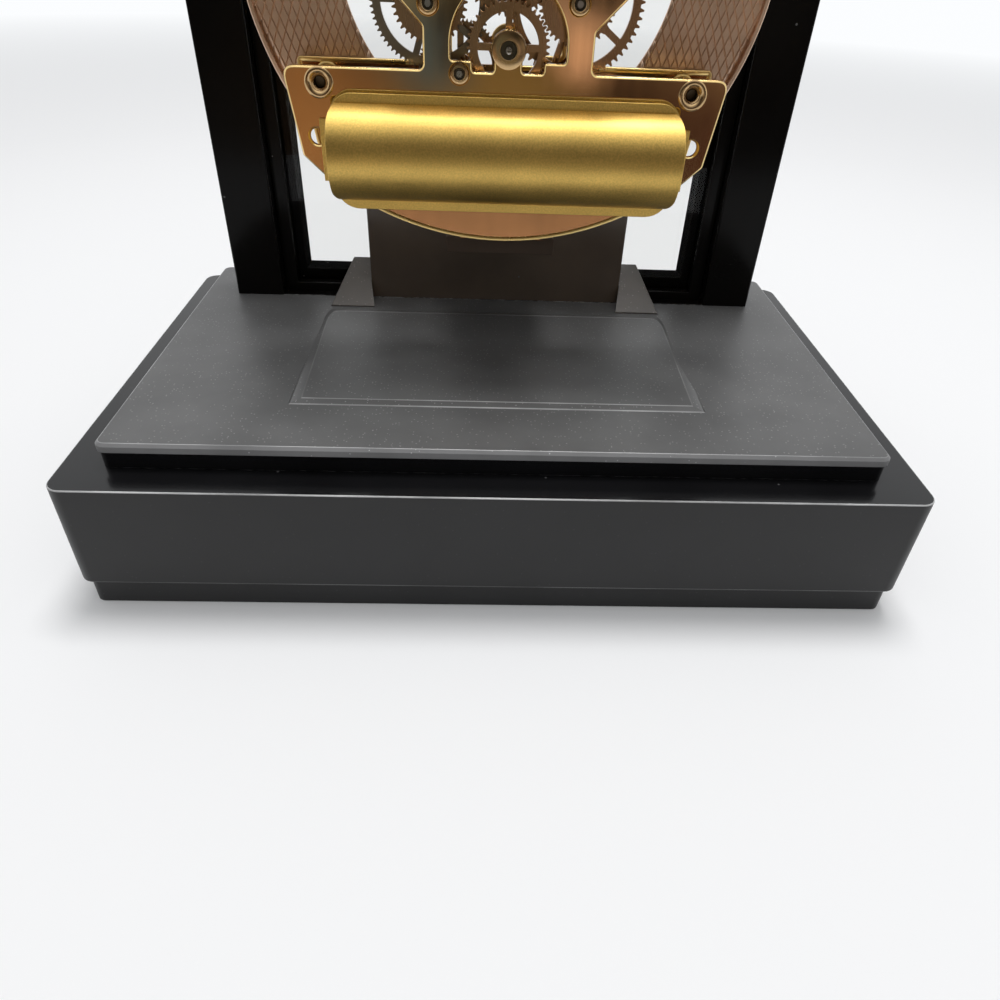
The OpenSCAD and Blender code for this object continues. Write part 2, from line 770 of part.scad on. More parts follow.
module dial_studs() {
    color("#d8b070") for (at = studs_at) bar(at, stud_r, dial_rear_y, front_plate_y);
}

// Battery bay

module cover_outline(extra) {
    translate([0, -cell_drop]) rounded_rect(2 * cover_half + extra, cover_h + extra, cover_corner_r);
}

module tray_bar(r, half) {
    translate([-half, back_plate_y, cell_z]) rotate([0, 90, 0]) cylinder(r = r, h = 2 * half);
}

module battery_tray() {
    color("#b98f45") difference() {
        union() {
            intersection() {
                tray_bar(tray_r, tray_out);
                translate([-tray_out, front_plate_in_y, cell_z - tray_r])
                    cube([2 * tray_out, back_plate_y - front_plate_in_y, 2 * tray_r]);
            }
            on_dial(back_plate_y, tray_flange_t) {
                cover_outline(0);
                translate([0, -cell_drop]) square([2 * (cover_half + tab_w), tab_h], center = true);
            }
        }
        tray_bar(tray_in_r, tray_half);
    }
}

module battery_cell() {
    cap_l = 1;
    cap_r = 2.75;
    cap_end = tray_half - contact_t;
    color("#3a3f46") translate([cap_end, back_plate_y, cell_z]) rotate([0, -90, 0]) {
        cylinder(r = cap_r, h = cap_l);
        translate([0, 0, cap_l]) cylinder(r = cell_r, h = cell_l - cap_l);
    }
}

module positive_contact() {
    color("silver") translate([tray_half - contact_t, back_plate_y - 4, cell_z - 4]) cube([contact_t, 8, 8]);
}

// Leaf bent to a blunt V, its two ends against the tray's end wall
module negative_contact() {
    reach = tray_half - contact_t - cell_l + tray_half;
    color("silver") translate([-tray_half, back_plate_y, cell_z - 3]) linear_extrude(6) difference() {
        polygon([[0, -4], [reach, -1], [reach, 1], [0, 4]]);
        polygon([[-1, -4.5 + contact_t], [reach - contact_t, -1 + contact_t / 2],
            [reach - contact_t, 1 - contact_t / 2], [-1, 4.5 - contact_t]]);
    }
}

module battery_cover() {
    color("#d2ac5a") difference() {
        intersection() {
            union() {
                tray_bar(cover_r, cover_half);
                on_dial(cover_front_y, cover_wall) cover_outline(0);
            }
            on_dial(cover_front_y, cover_r) cover_outline(0);
        }
        tray_bar(cover_in_r, cover_half - cover_wall);
    }
}

// Drive unit

module motor_unit() {
    depth = 4.1;
    near_x = motor_x - 4;
    color("#2f2f33") difference() {
        translate([near_x, back_plate_in_y - depth, bay_top]) cube([bay_end - near_x, depth, bay_room]);
        bar(motor_at, pivot_r + running_fit, back_plate_in_y - depth - 1, back_plate_in_y - 1);
    }
}

module circuit_board() {
    board_l = 17;
    chip_t = 1;
    chip_l = 6;
    chip_h = 2.2;
    chip_edge = 1;
    board_y = back_plate_in_y - board_t;
    color("#2c5a3a") translate([-bay_end, board_y, bay_top]) cube([board_l, board_t, bay_room]);
    color("#101010") translate([chip_edge - bay_end, board_y - chip_t, bay_top + (bay_room - chip_h) / 2])
        cube([chip_l, chip_t, chip_h]);
}

module quartz_can() {
    can_r = 1;
    can_l = 6;
    can_x = 9 - bay_end;
    color("silver") translate([can_x, back_plate_in_y - board_t - can_r, bay_top + bay_room / 2])
        rotate([0, 90, 0]) cylinder(r = can_r, h = can_l);
}

// Wheels

module spokes(count, r, w) {
    for (i = [0:count - 1]) rotate(360 * i / count) translate([0, -w / 2]) square([r, w]);
}

module crossed_gear(n, m, phase, bore_r, count) {
    root_r = m * (n / 2 - dedendum);
    rim = 1.3;
    hub_r = 2.1;
    difference() {
        polygon(gear_points(n, m, phase));
        if (count > 0) difference() {
            circle(root_r - rim);
            circle(hub_r);
            spokes(count, root_r, 1.1);
        }
        circle(bore_r);
    }
}

module gear_at(at, layer, n, m, phase, bore_r, count) {
    on_dial(layer_y(layer), gear_t) translate(at) crossed_gear(n, m, phase, bore_r, count);
}

// Arbor with a pivot at each end, running in the two plates' bushes
module arbor(at) {
    bar(at, arbor_r, front_plate_in_y + end_shake, back_plate_in_y - end_shake);
    bar(at, pivot_r, front_plate_y - bush_flange_t, back_plate_y + bush_flange_t);
}

module motor_pinion() {
    color("#e8e0c8") {
        bar(motor_at, pivot_r, layer_y(hour_layer), back_plate_in_y - 2);
        gear_at(motor_at, hour_layer, motor_teeth, motor_m, heading(motor_at, drive_at), pivot_r / 2, 0);
    }
}

module drive_arbor() {
    color("#d9d9d9") {
        arbor(drive_at);
        gear_at(drive_at, main_layer, drive_pinion_teeth, third_m,
            heading(drive_at, third_at), arbor_r / 2, 0);
    }
}

module drive_wheel() {
    color("#d9b25f") gear_at(drive_at, hour_layer, drive_wheel_teeth, motor_m,
        heading(drive_at, motor_at) + 180 / drive_wheel_teeth, arbor_r + press_gap, 4);
}

module third_arbor() {
    color("#d9d9d9") {
        arbor(third_at);
        gear_at(third_at, centre_layer, third_pinion_teeth, centre_m,
            heading(third_at, centre_at), arbor_r / 2, 0);
    }
}

module third_wheel() {
    color("#d9b25f") gear_at(third_at, main_layer, third_wheel_teeth, third_m,
        heading(third_at, drive_at) + 180 / third_wheel_teeth, arbor_r + press_gap, 5);
}

module centre_arbor() {
    color("#d9d9d9") {
        bar(centre_at, arbor_r, minute_hand_y - nut_h + 0.4, back_plate_in_y - end_shake);
        bar(centre_at, pivot_r, front_plate_y, back_plate_y + bush_flange_t);
        gear_at(centre_at, main_layer, cannon_teeth, minute_m, heading(centre_at, minute_at), arbor_r / 2, 0);
    }
}

module centre_wheel() {
    color("#d9b25f") gear_at(centre_at, centre_layer, centre_wheel_teeth, centre_m,
        heading(centre_at, third_at) + 180 / centre_wheel_teeth, arbor_r + press_gap, 4);
}

module hour_wheel() {
    color("#d9b25f") difference() {
        union() {
            gear_at(centre_at, hour_layer, hour_wheel_teeth, hour_m,
                heading(centre_at, minute_at) + 180 / hour_wheel_teeth, arbor_r / 2, 4);
            bar(centre_at, pipe_r, hour_hand_y - 0.3, layer_y(hour_layer) + gear_t);
        }
        bar(centre_at, pipe_in_r, hour_hand_y - 1, layer_y(hour_layer) + gear_t + 1);
    }
}

module minute_arbor() {
    color("#d9d9d9") {
        arbor(minute_at);
        gear_at(minute_at, hour_layer, minute_pinion_teeth, hour_m,
            heading(minute_at, centre_at), arbor_r / 2, 0);
        gear_at(minute_at, setting_layer, setting_pinion_teeth, setting_m,
            heading(minute_at, setting_at), arbor_r / 2, 0);
    }
}

module minute_wheel() {
    color("#d9b25f") gear_at(minute_at, main_layer, minute_wheel_teeth, minute_m,
        heading(minute_at, centre_at) + 180 / minute_wheel_teeth, arbor_r + press_gap, 5);
}

module setting_arbor() {
    color("#d9d9d9") difference() {
        union() {
            arbor(setting_at);
            bar(setting_at, pivot_r, back_plate_y, back_plate_y + bush_flange_t + 0.8);
        }
        translate([-pivot_r, back_plate_y + bush_flange_t + 0.4, dial_z - setting_drop - 0.12])
            cube([2 * pivot_r, 1, 0.24]);
    }
}

module setting_wheel() {
    color("#d9b25f") gear_at(setting_at, setting_layer, setting_wheel_teeth, setting_m,
        heading(setting_at, minute_at) + 180 / setting_wheel_teeth, arbor_r + press_gap, 4);
}

// Hands, set at ten past ten

module hand_blade(l, half_w, tail) {
    polygon([[0.8, -tail], [half_w * 0.55, 2], [half_w, l * 0.6], [0.25, l], [-0.25, l],
        [-half_w, l * 0.6], [-half_w * 0.55, 2], [-0.8, -tail]]);
}

module hour_hand() {
    color("#0c0c0c") on_dial(hour_hand_y, hand_t) difference() {
        union() {
            rotate(-305) hand_blade(hour_hand_l, 1.9, 0);
            circle(pipe_r + 1.6);
        }
        circle(pipe_r + press_gap);
    }
}

module minute_hand() {
    color("#0c0c0c") on_dial(minute_hand_y, hand_t) difference() {
        union() {
            rotate(-60) hand_blade(minute_hand_l, 1.5, 6);
            circle(arbor_r + 1.6);
        }
        circle(arbor_r + press_gap);
    }
}

module hand_nut() {
    color("#b0884a") difference() {
        bar(centre_at, nut_r, minute_hand_y - nut_h, minute_hand_y);
        bar(centre_at, arbor_r + press_gap, minute_hand_y - nut_h + 0.4, minute_hand_y + 1);
    }
}

plinth();
bottom_cover();
bottom_screws();
rubber_feet();
deck();
deck_screws();
front_frame();
frame_screws();
glass_pane();
glass_clips();
pedestal();
pedestal_screws();
front_plate();
back_plate();
pillars();
movement_screws();
front_bushes();
rear_bushes();
dial();
dial_studs();
battery_tray();
battery_cell();
positive_contact();
negative_contact();
battery_cover();
motor_unit();
circuit_board();
quartz_can();
motor_pinion();
drive_arbor();
drive_wheel();
third_arbor();
third_wheel();
centre_arbor();
centre_wheel();
minute_hand();
hand_nut();
hour_wheel();
hour_hand();
minute_arbor();
minute_wheel();
setting_arbor();
setting_wheel();
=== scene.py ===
import json
import math

import bmesh
import bpy
from mathutils import Matrix, Vector


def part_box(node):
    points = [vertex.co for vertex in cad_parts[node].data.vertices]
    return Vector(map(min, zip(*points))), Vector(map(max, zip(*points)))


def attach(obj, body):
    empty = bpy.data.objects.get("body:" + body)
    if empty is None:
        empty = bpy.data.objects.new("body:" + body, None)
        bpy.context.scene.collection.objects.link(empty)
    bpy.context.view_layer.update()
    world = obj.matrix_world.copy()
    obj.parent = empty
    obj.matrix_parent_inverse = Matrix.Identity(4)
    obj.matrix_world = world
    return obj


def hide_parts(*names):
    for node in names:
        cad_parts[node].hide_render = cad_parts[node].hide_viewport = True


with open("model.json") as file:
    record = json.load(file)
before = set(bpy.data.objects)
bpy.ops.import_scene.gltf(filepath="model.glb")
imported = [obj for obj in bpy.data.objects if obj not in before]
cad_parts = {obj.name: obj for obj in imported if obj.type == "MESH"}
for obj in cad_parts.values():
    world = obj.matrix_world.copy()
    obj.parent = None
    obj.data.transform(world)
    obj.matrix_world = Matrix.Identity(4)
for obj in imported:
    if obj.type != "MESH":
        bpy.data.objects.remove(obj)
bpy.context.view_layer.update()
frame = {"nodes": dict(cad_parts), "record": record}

# Plinth: the hollow base, moulded in black plastic with a fine satin skin and a gloss ledge on top.
# Its foot is set in all round. Its upper edge is painted as a thin pale line, a painted highlight, and a
# fainter painted highlight runs along the top of the foot.
MM = 0.001
SAME = 1e-6
plinth_low, plinth_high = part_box("plinth")
skirt_top = 6 * MM
skirt_low = 0.25 * MM
skirt_inset = 1.2 * MM
plinth_wall = 3 * MM
plinth_corner = 3 * MM
plinth_edge = 0.22 * MM
skirt_edge = 0.2 * MM
skirt_line = 0.14 * MM


def block(bm, low, high):
    """Adds a box between two corners and returns its vertices."""
    low, high = Vector(low), Vector(high)
    place = Matrix.Translation((low + high) / 2) @ Matrix.Diagonal((*(high - low), 1))
    return bmesh.ops.create_cube(bm, size=1, matrix=place)["verts"]


def soften(bm, edges, width, segments=3):
    """Rounds edges over and returns the narrow faces that this makes."""
    made = bmesh.ops.bevel(bm, geom=list(edges), offset=width, offset_type="OFFSET", segments=segments,
                           profile=0.5, affect="EDGES", material=-1, clamp_overlap=True)
    return made["faces"]


def edges_along(bm, axis):
    """The edges that run along an axis, given by its number."""
    return [e for e in bm.edges if abs((e.verts[1].co - e.verts[0].co).normalized()[axis]) > 0.999]


def face_at(bm, axis, place, sign):
    """The largest face that looks along an axis at a place."""
    found = [f for f in bm.faces
             if f.normal[axis] * sign > 0.99 and abs(f.calc_center_median()[axis] - place) < 1e-5]
    return max(found, key=lambda f: f.calc_area())


def inset(bm, face, width):
    """Draws a smaller outline inside a face and returns the inner face."""
    bmesh.ops.inset_region(bm, faces=[face], thickness=width, use_even_offset=True)
    return face


def push(bm, face, distance):
    """Moves a face along its normal and walls in the way that it went."""
    normal = face.normal.copy()
    moved = bmesh.ops.extrude_discrete_faces(bm, faces=[face])["faces"][0]
    bmesh.ops.translate(bm, verts=moved.verts, vec=normal * distance)
    moved.normal_update()
    return moved


def cut(bm, place, way, **cleared):
    """Cuts all of a bmesh along a plane, and returns the edges on the cut."""
    everything = bm.verts[:] + bm.edges[:] + bm.faces[:]
    made = bmesh.ops.bisect_plane(bm, geom=everything, plane_co=place, plane_no=way, **cleared)["geom_cut"]
    return [e for e in made if isinstance(e, bmesh.types.BMEdge)]


def level_edges(bm, height):
    """The edges that lie at a height."""
    return [e for e in bm.edges if all(abs(v.co.z - height) < SAME for v in e.verts)]


def make_piece(name, bm, materials, sharp=35):
    """Turns a bmesh into a piece, smooth but for edges over an angle. Without one, the edges stay as marked."""
    bm.normal_update()
    mesh = bpy.data.meshes.new(name)
    bm.to_mesh(mesh)
    bm.free()
    for material in materials:
        mesh.materials.append(material)
    if sharp:
        mesh.shade_smooth()
        mesh.set_sharp_from_angle(angle=math.radians(sharp))
    piece = bpy.data.objects.new(name, mesh)
    bpy.context.scene.collection.objects.link(piece)
    shading = piece.modifiers.new("even_shading", "WEIGHTED_NORMAL")
    shading.keep_sharp = True
    shading.weight = 100
    return piece


node_body = {n: body for body, nodes in frame["record"]["behaviour"]["bodies"].items() for n in nodes}


def stands_for(piece, slot, *nodes):
    """Puts a piece in place of CAD nodes, on their body."""
    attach(piece, node_body[nodes[0]])
    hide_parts(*nodes)
    return piece


def put(tree, kind, inputs=None, **settings):
    """Adds a shader node with its settings, and with values or links on its inputs."""
    made = tree.nodes.new("ShaderNode" + kind)
    for key, value in settings.items():
        setattr(made, key, value)
    for socket, value in (inputs or {}).items():
        if isinstance(value, bpy.types.NodeSocket):
            tree.links.new(value, made.inputs[socket])
        else:
            made.inputs[socket].default_value = value
    return made


def ramp(tree, value, stops):
    """A colour ramp on a value, from (place, colour) stops."""
    made = put(tree, "ValToRGB", {"Fac": value})
    band = made.color_ramp.elements
    while len(band) < len(stops):
        band.new(0.5)
    for element, (place, colour) in zip(band, stops):
        element.position = place
        element.color = (*colour, 1)
    return made.outputs["Color"]


def spread(tree, value, low, high):
    """Maps a mask from 0 to 1 on a range of values."""
    made = put(tree, "MapRange", {"Value": value, "To Min": low, "To Max": high})
    return made.outputs["Result"]


def shaded(tone, share):
    """A colour made darker or paler by a share."""
    return [share * part for part in tone]


def mixed(tree, share, ground, over, **settings):
    """One colour laid over another by a share from 0 to 1."""
    return put(tree, "Mix", {0: share, 6: ground, 7: over}, data_type="RGBA", **settings).outputs[2]


def effect(name, inputs, output="Mask"):
    """Starts a node group with number inputs and one output, and gives its tree and both ends."""
    group = bpy.data.node_groups.new(name, "ShaderNodeTree")
    for socket, value in inputs.items():
        made = group.interface.new_socket(socket, in_out="INPUT", socket_type="NodeSocketFloat")
        made.default_value = value
    group.interface.new_socket(output, in_out="OUTPUT", socket_type="NodeSocketFloat")
    return group, group.nodes.new("NodeGroupInput"), group.nodes.new("NodeGroupOutput")


def use(tree, group, **values):
    """Places an effect in a material with its own values and returns its output."""
    made = tree.nodes.new("ShaderNodeGroup")
    made.node_tree = group
    for socket, value in values.items():
        made.inputs[socket].default_value = value
    return made.outputs[0]


# An even mottle at a chosen size, per metre
mottle, mottle_in, mottle_out = effect("mottle", {"Scale": 1000.0, "Detail": 3.0})
mottle_at = put(mottle, "TexCoord").outputs["Object"]
mottle_noise = put(mottle, "TexNoise", {"Vector": mottle_at, "Scale": mottle_in.outputs["Scale"],
                                        "Detail": mottle_in.outputs["Detail"]})
mottle.links.new(mottle_noise.outputs["Fac"], mottle_out.inputs[0])

# Specks of dust: round spots at the heart of a few of the cells
dust, dust_in, dust_out = effect("dust", {"Scale": 300.0, "Size": 0.12, "Share": 0.2})
dust_cells = put(dust, "TexVoronoi", {"Vector": put(dust, "TexCoord").outputs["Object"],
                                      "Scale": dust_in.outputs["Scale"]})
dust_near = put(dust, "Math", {0: dust_cells.outputs["Distance"], 1: dust_in.outputs["Size"]},
                operation="LESS_THAN")
dust_pick = put(dust, "SeparateColor", {"Color": dust_cells.outputs["Color"]})
dust_few = put(dust, "Math", {0: dust_pick.outputs["Red"], 1: dust_in.outputs["Share"]}, operation="LESS_THAN")
dust_mask = put(dust, "Math", {0: dust_near.outputs[0], 1: dust_few.outputs[0]}, operation="MULTIPLY")
dust.links.new(dust_mask.outputs[0], dust_out.inputs[0])

# Hairlines: noise drawn out along one slanting direction
hairlines, hairlines_in, hairlines_out = effect("hairlines", {"Scale": 400.0, "Turn": 0.6, "Stretch": 0.02})
line_turn = put(hairlines, "CombineXYZ", {"Y": hairlines_in.outputs["Turn"]})
line_scale = put(hairlines, "CombineXYZ", {"X": 1.0, "Y": 1.0, "Z": hairlines_in.outputs["Stretch"]})
line_at = put(hairlines, "Mapping", {"Vector": put(hairlines, "TexCoord").outputs["Object"],
                                     "Rotation": line_turn.outputs[0], "Scale": line_scale.outputs[0]})
line_noise = put(hairlines, "TexNoise", {"Vector": line_at.outputs[0], "Scale": hairlines_in.outputs["Scale"],
                                         "Detail": 2.0})
hairlines.links.new(line_noise.outputs["Fac"], hairlines_out.inputs[0])


def surface(name):
    """A new material, as its tree and its shader."""
    material = bpy.data.materials.new(name)
    material.use_nodes = True
    return material, material.node_tree, material.node_tree.nodes["Principled BSDF"]


def coat(tree, shader, colour, rough, metal=0.0):
    """Gives a shader its changing colour and roughness, and says whether it is metal."""
    tree.links.new(colour, shader.inputs["Base Color"])
    tree.links.new(rough, shader.inputs["Roughness"])
    shader.inputs["Metallic"].default_value = metal


def roughen(tree, shader, height, depth, strength):
    """Raises the surface by a mask, to a depth in metres."""
    bump = put(tree, "Bump", {"Height": height, "Strength": strength, "Distance": depth})
    tree.links.new(bump.outputs["Normal"], shader.inputs["Normal"])


def moulded_black(name, tone, rough, dusty):
    """Black plastic: an even tone with a fine skin, and specks of dust lying on it."""
    material, tree, shader = surface(name)
    skin = use(tree, mottle, Scale=4200.0, Detail=2.0)
    patches = use(tree, mottle, Scale=60.0, Detail=4.0)
    specks = use(tree, dust, Scale=420.0, Size=0.06, Share=dusty)
    powder = use(tree, dust, Scale=1500.0, Size=0.2, Share=2 * dusty)
    dark = ramp(tree, patches, [(0.35, shaded(tone, 0.85)), (0.7, shaded(tone, 1.2))])
    fine = mixed(tree, powder, dark, (*shaded(tone, 2.2), 1))
    shown = mixed(tree, specks, fine, (0.2, 0.2, 0.2, 1))
    coat(tree, shader, shown, spread(tree, patches, rough - 0.06, rough + 0.08))
    shader.inputs["Specular IOR Level"].default_value = 0.4
    roughen(tree, shader, skin, 0.012 * MM, 0.5)
    return material


def gloss(name, tone, rough, shine=0.3):
    """Gloss black plastic: a deep shine with faint rubbed patches and a little dust."""
    material, tree, shader = surface(name)
    patches = use(tree, mottle, Scale=45.0, Detail=5.0)
    specks = use(tree, dust, Scale=360.0, Size=0.08, Share=0.06)
    dark = ramp(tree, patches, [(0.3, tone), (0.75, shaded(tone, 1.6))])
    shown = mixed(tree, specks, dark, (0.1, 0.1, 0.1, 1))
    coat(tree, shader, shown, spread(tree, patches, rough, rough + 0.14))
    shader.inputs["Specular IOR Level"].default_value = shine
    roughen(tree, shader, use(tree, mottle, Scale=500.0, Detail=2.0), 0.006 * MM, 0.4)
    return material


def painted_edge_highlight(name, lit_tone, dim_tone, patch=60.0):
    """A painted highlight on an edge of black plastic, wandering between a brighter and a dimmer pale tone."""
    material, tree, shader = surface(name)
    stretches = use(tree, mottle, Scale=patch, Detail=5.0)
    colour = ramp(tree, stretches, [(0.36, (dim_tone, dim_tone, dim_tone)), (0.62, (lit_tone, lit_tone, lit_tone))])
    coat(tree, shader, colour, spread(tree, stretches, 0.5, 0.35))
    return material


satin_black = moulded_black("satin_black", (0.013, 0.013, 0.0135), 0.42, 0.03)
gloss_black = gloss("gloss_black", (0.005, 0.005, 0.0055), 0.09)
# Painted highlights: a pale line for the top edge and a faint one for the foot's edge.
plinth_edge_highlight = painted_edge_highlight("plinth_edge_highlight", 0.6, 0.28)
skirt_line_highlight = painted_edge_highlight("skirt_line_highlight", 0.13, 0.05)

plinth = bmesh.new()
block(plinth, (plinth_low.x, plinth_low.y, skirt_top), plinth_high)
soften(plinth, edges_along(plinth, 2), plinth_corner, 8)
plinth.normal_update()
under_face = inset(plinth, face_at(plinth, 2, skirt_top, -1), skirt_inset)
skirt_face = push(plinth, under_face, skirt_top - skirt_low)
hollow_face = inset(plinth, skirt_face, plinth_wall)
bmesh.ops.remove_doubles(plinth, verts=hollow_face.verts, dist=plinth_wall)
plinth.normal_update()
push(plinth, face_at(plinth, 2, skirt_low, -1), -(plinth_high.z - plinth_wall - skirt_low))
plinth.normal_update()
face_at(plinth, 2, plinth_high.z, 1).material_index = 1
# The strips that round the top edge take the pale tone: a painted highlight.
for strip in soften(plinth, level_edges(plinth, plinth_high.z), plinth_edge, 2):
    strip.material_index = 2
# The foot's rounded edge and a thin band above it take the faint tone: a painted highlight.
lower_edges = [e for e in level_edges(plinth, skirt_top)
               if any(f.calc_center_median().z > skirt_top + MM for f in e.link_faces)]
for strip in soften(plinth, lower_edges, skirt_edge, 1):
    strip.material_index = 3
line_top = skirt_top + skirt_edge + skirt_line
cut(plinth, (0, 0, line_top), (0, 0, 1))
for face in plinth.faces:
    spot = face.calc_center_median()
    if skirt_top < spot.z < line_top and face.normal.dot((spot.x, spot.y, 0)) > 0:
        face.material_index = 3
plinth_piece = make_piece("plinth_moulding", plinth, [satin_black, gloss_black, plinth_edge_highlight, skirt_line_highlight])
stands_for(plinth_piece, "satin_black", "plinth")

# Bottom cover and screws: a thin black sheet let into the plinth's underside and held by four
# screws. All the screws of the case are zinc-plated steel with slotted heads.


def merged_copy(node):
    """A CAD node's mesh with its triangles joined and its flat faces whole."""
    bm = bmesh.new()
    bm.from_mesh(frame["nodes"][node].data)
    bmesh.ops.remove_doubles(bm, verts=bm.verts, dist=1e-6)
    bmesh.ops.dissolve_limit(bm, angle_limit=math.radians(0.5), verts=bm.verts, edges=bm.edges)
    bm.normal_update()
    return bm


def sharp_edges(bm, least=50):
    """The edges where two faces meet at an angle of at least so many degrees."""
    return [e for e in bm.edges if len(e.link_faces) == 2 and e.calc_face_angle() > math.radians(least)]


def softened(node, name, material, slot, width, segments=2):
    """A piece of a CAD node's own shape with its sharp edges broken."""
    bm = merged_copy(node)
    soften(bm, sharp_edges(bm), width, segments)
    return stands_for(make_piece(name, bm, [material]), slot, node)


def bare_metal(name, tone, rough):
    """Plain metal: a slight change of tone, and hairlines in its polish."""
    material, tree, shader = surface(name)
    cloud = use(tree, mottle, Scale=110.0, Detail=4.0)
    lines = use(tree, hairlines, Scale=700.0, Turn=0.7, Stretch=0.03)
    tint = ramp(tree, cloud, [(0.3, shaded(tone, 0.86)), (0.7, tone)])
    coat(tree, shader, tint, spread(tree, lines, rough, rough + 0.14), metal=1.0)
    roughen(tree, shader, lines, 0.004 * MM, 0.4)
    return material


cover_black = moulded_black("cover_black", (0.02, 0.02, 0.02), 0.55, 0.05)
screw_steel = bare_metal("screw_steel", (0.62, 0.62, 0.60), 0.22)
softened("bottom_cover", "bottom_sheet", cover_black, "satin_black", width=0.25 * MM)
for screws in ("bottom_screws", "deck_screws", "frame_screws", "pedestal_screws", "movement_screws"):
    softened(screws, screws + "_slotted", screw_steel, "screw_steel", width=0.12 * MM)

# Rubber feet: four soft discs stuck under the bottom cover, with a rounded edge and a hollow
# in the middle that grips the table.
foot_low, foot_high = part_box("rubber_feet")
foot_r = 7 * MM
foot_hollow_r = 4.6 * MM
foot_dish = 0.35 * MM
foot_round = 0.4 * MM
foot_turn = 0.3 * foot_round


def turned(bm, profile, centre, axis=(0, 1, 0), steps=48):
    """Spins (radius, place along the axis) points round an axis through a centre."""
    axis = Vector(axis)
    across = Vector((1, 0, 0)) if abs(axis.x) < 0.5 else Vector((0, 0, 1))
    points = [bm.verts.new(Vector(centre) + across * r + axis * along) for r, along in profile]
    lines = [bm.edges.new(pair) for pair in zip(points, points[1:])]
    bmesh.ops.spin(bm, geom=points + lines, cent=centre, axis=axis, angle=math.tau, steps=steps,
                   use_merge=True)
    bmesh.ops.remove_doubles(bm, verts=bm.verts, dist=1e-7)
    bmesh.ops.recalc_face_normals(bm, faces=bm.faces)


def soft_rubber(name):
    """Soft dark rubber with a fine tooth and a trace of dust."""
    material, tree, shader = surface(name)
    tooth = use(tree, mottle, Scale=2600.0, Detail=3.0)
    colour = ramp(tree, tooth, [(0.3, (0.018, 0.018, 0.018)), (0.75, (0.045, 0.045, 0.045))])
    coat(tree, shader, colour, spread(tree, tooth, 0.7, 0.92))
    roughen(tree, shader, tooth, 0.03 * MM, 0.6)
    return material


feet = bmesh.new()
for x in (foot_low.x + foot_r, foot_high.x - foot_r):
    for y in (foot_low.y + foot_r, foot_high.y - foot_r):
        turned(feet, [(0, foot_dish), (foot_hollow_r - foot_dish, foot_dish), (foot_hollow_r, 0),
                      (foot_r - foot_round, 0), (foot_r - foot_turn, foot_turn),
                      (foot_r, foot_round), (foot_r, foot_high.z), (0, foot_high.z)],
               (x, y, 0), (0, 0, 1))
stands_for(make_piece("foot_pads", feet, [soft_rubber("foot_rubber")]), "rubber", "rubber_feet")

# Deck: a moulded slab with a thin overhanging lip and a low raised pad, on a gloss neck that is
# screwed to the plinth from below. Its top is satin and dusty. Its edges are painted as fine pale lines,
# painted highlights, and the lip's sides are painted a paler grey than the top, painted light.
deck_low, deck_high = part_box("deck")
deck_top = 32 * MM
deck_lip = 1.7 * MM
deck_undercut = 0.3 * MM
deck_chamfer = 0.55 * MM
deck_corner = 2 * MM
deck_line = 0.08 * MM
neck_line = 0.1 * MM
pad_half_w = 39.3 * MM
pad_front = -16.75 * MM
pad_rear = 27.25 * MM
pad_foot = 0.16 * MM
pad_flare = 0.4 * MM
pad_front_slope = 2.2 * MM
pad_rear_slope = 1.4 * MM
pad_side_slope = (0.9 * MM, 2.0 * MM)
pad_round = 1.8 * MM
pad_line = 0.14 * MM
pad_crest = deck_top + 0.55 * MM
satin_deck = moulded_black("satin_deck", (0.095, 0.095, 0.095), 0.42, 0.22)
# A paler copy of the deck's plastic for the lip's sides: painted light.
deck_lit_side = moulded_black("deck_lit_side", (0.19, 0.19, 0.192), 0.45, 0.06)
# Painted highlights: brighter for edges that face front or rear, dimmer for the pad's sides.
pad_edge_highlight = painted_edge_highlight("pad_edge_highlight", 0.44, 0.22)
pad_side_highlight = painted_edge_highlight("pad_side_highlight", 0.19, 0.095)
# A broken pale line along an edge: a painted highlight.
dashed_edge_highlight = painted_edge_highlight("dashed_edge_highlight", 0.3, 0.004, 700.0)

neck = bmesh.new()
block(neck, (deck_low.x + deck_undercut, deck_low.y + deck_undercut, deck_low.z),
      (deck_high.x - deck_undercut, deck_high.y - deck_undercut, deck_top - deck_lip))
soften(neck, edges_along(neck, 2), deck_corner, 6)
for face in neck.faces:
    face.material_index = 1
# The neck's bottom edge takes the broken pale line: a painted highlight.
for strip in soften(neck, level_edges(neck, deck_low.z), neck_line, 1):
    strip.material_index = 4

deck = bmesh.new()
block(deck, (deck_low.x, deck_low.y, deck_top - deck_lip), (deck_high.x, deck_high.y, deck_top))
soften(deck, edges_along(deck, 2), deck_corner, 6)
soften(deck, level_edges(deck, deck_top), deck_chamfer, 1)
# The thin strip along the deck's top edge takes the bright tone: a painted highlight.
for strip in soften(deck, level_edges(deck, deck_top), deck_line, 1):
    strip.material_index = 2
deck.normal_update()
# The lip's sides and chamfer take the paler copy: painted light.
for face in deck.faces:
    if abs(face.normal.z) < 0.8 and face.material_index == 0:
        face.material_index = 5

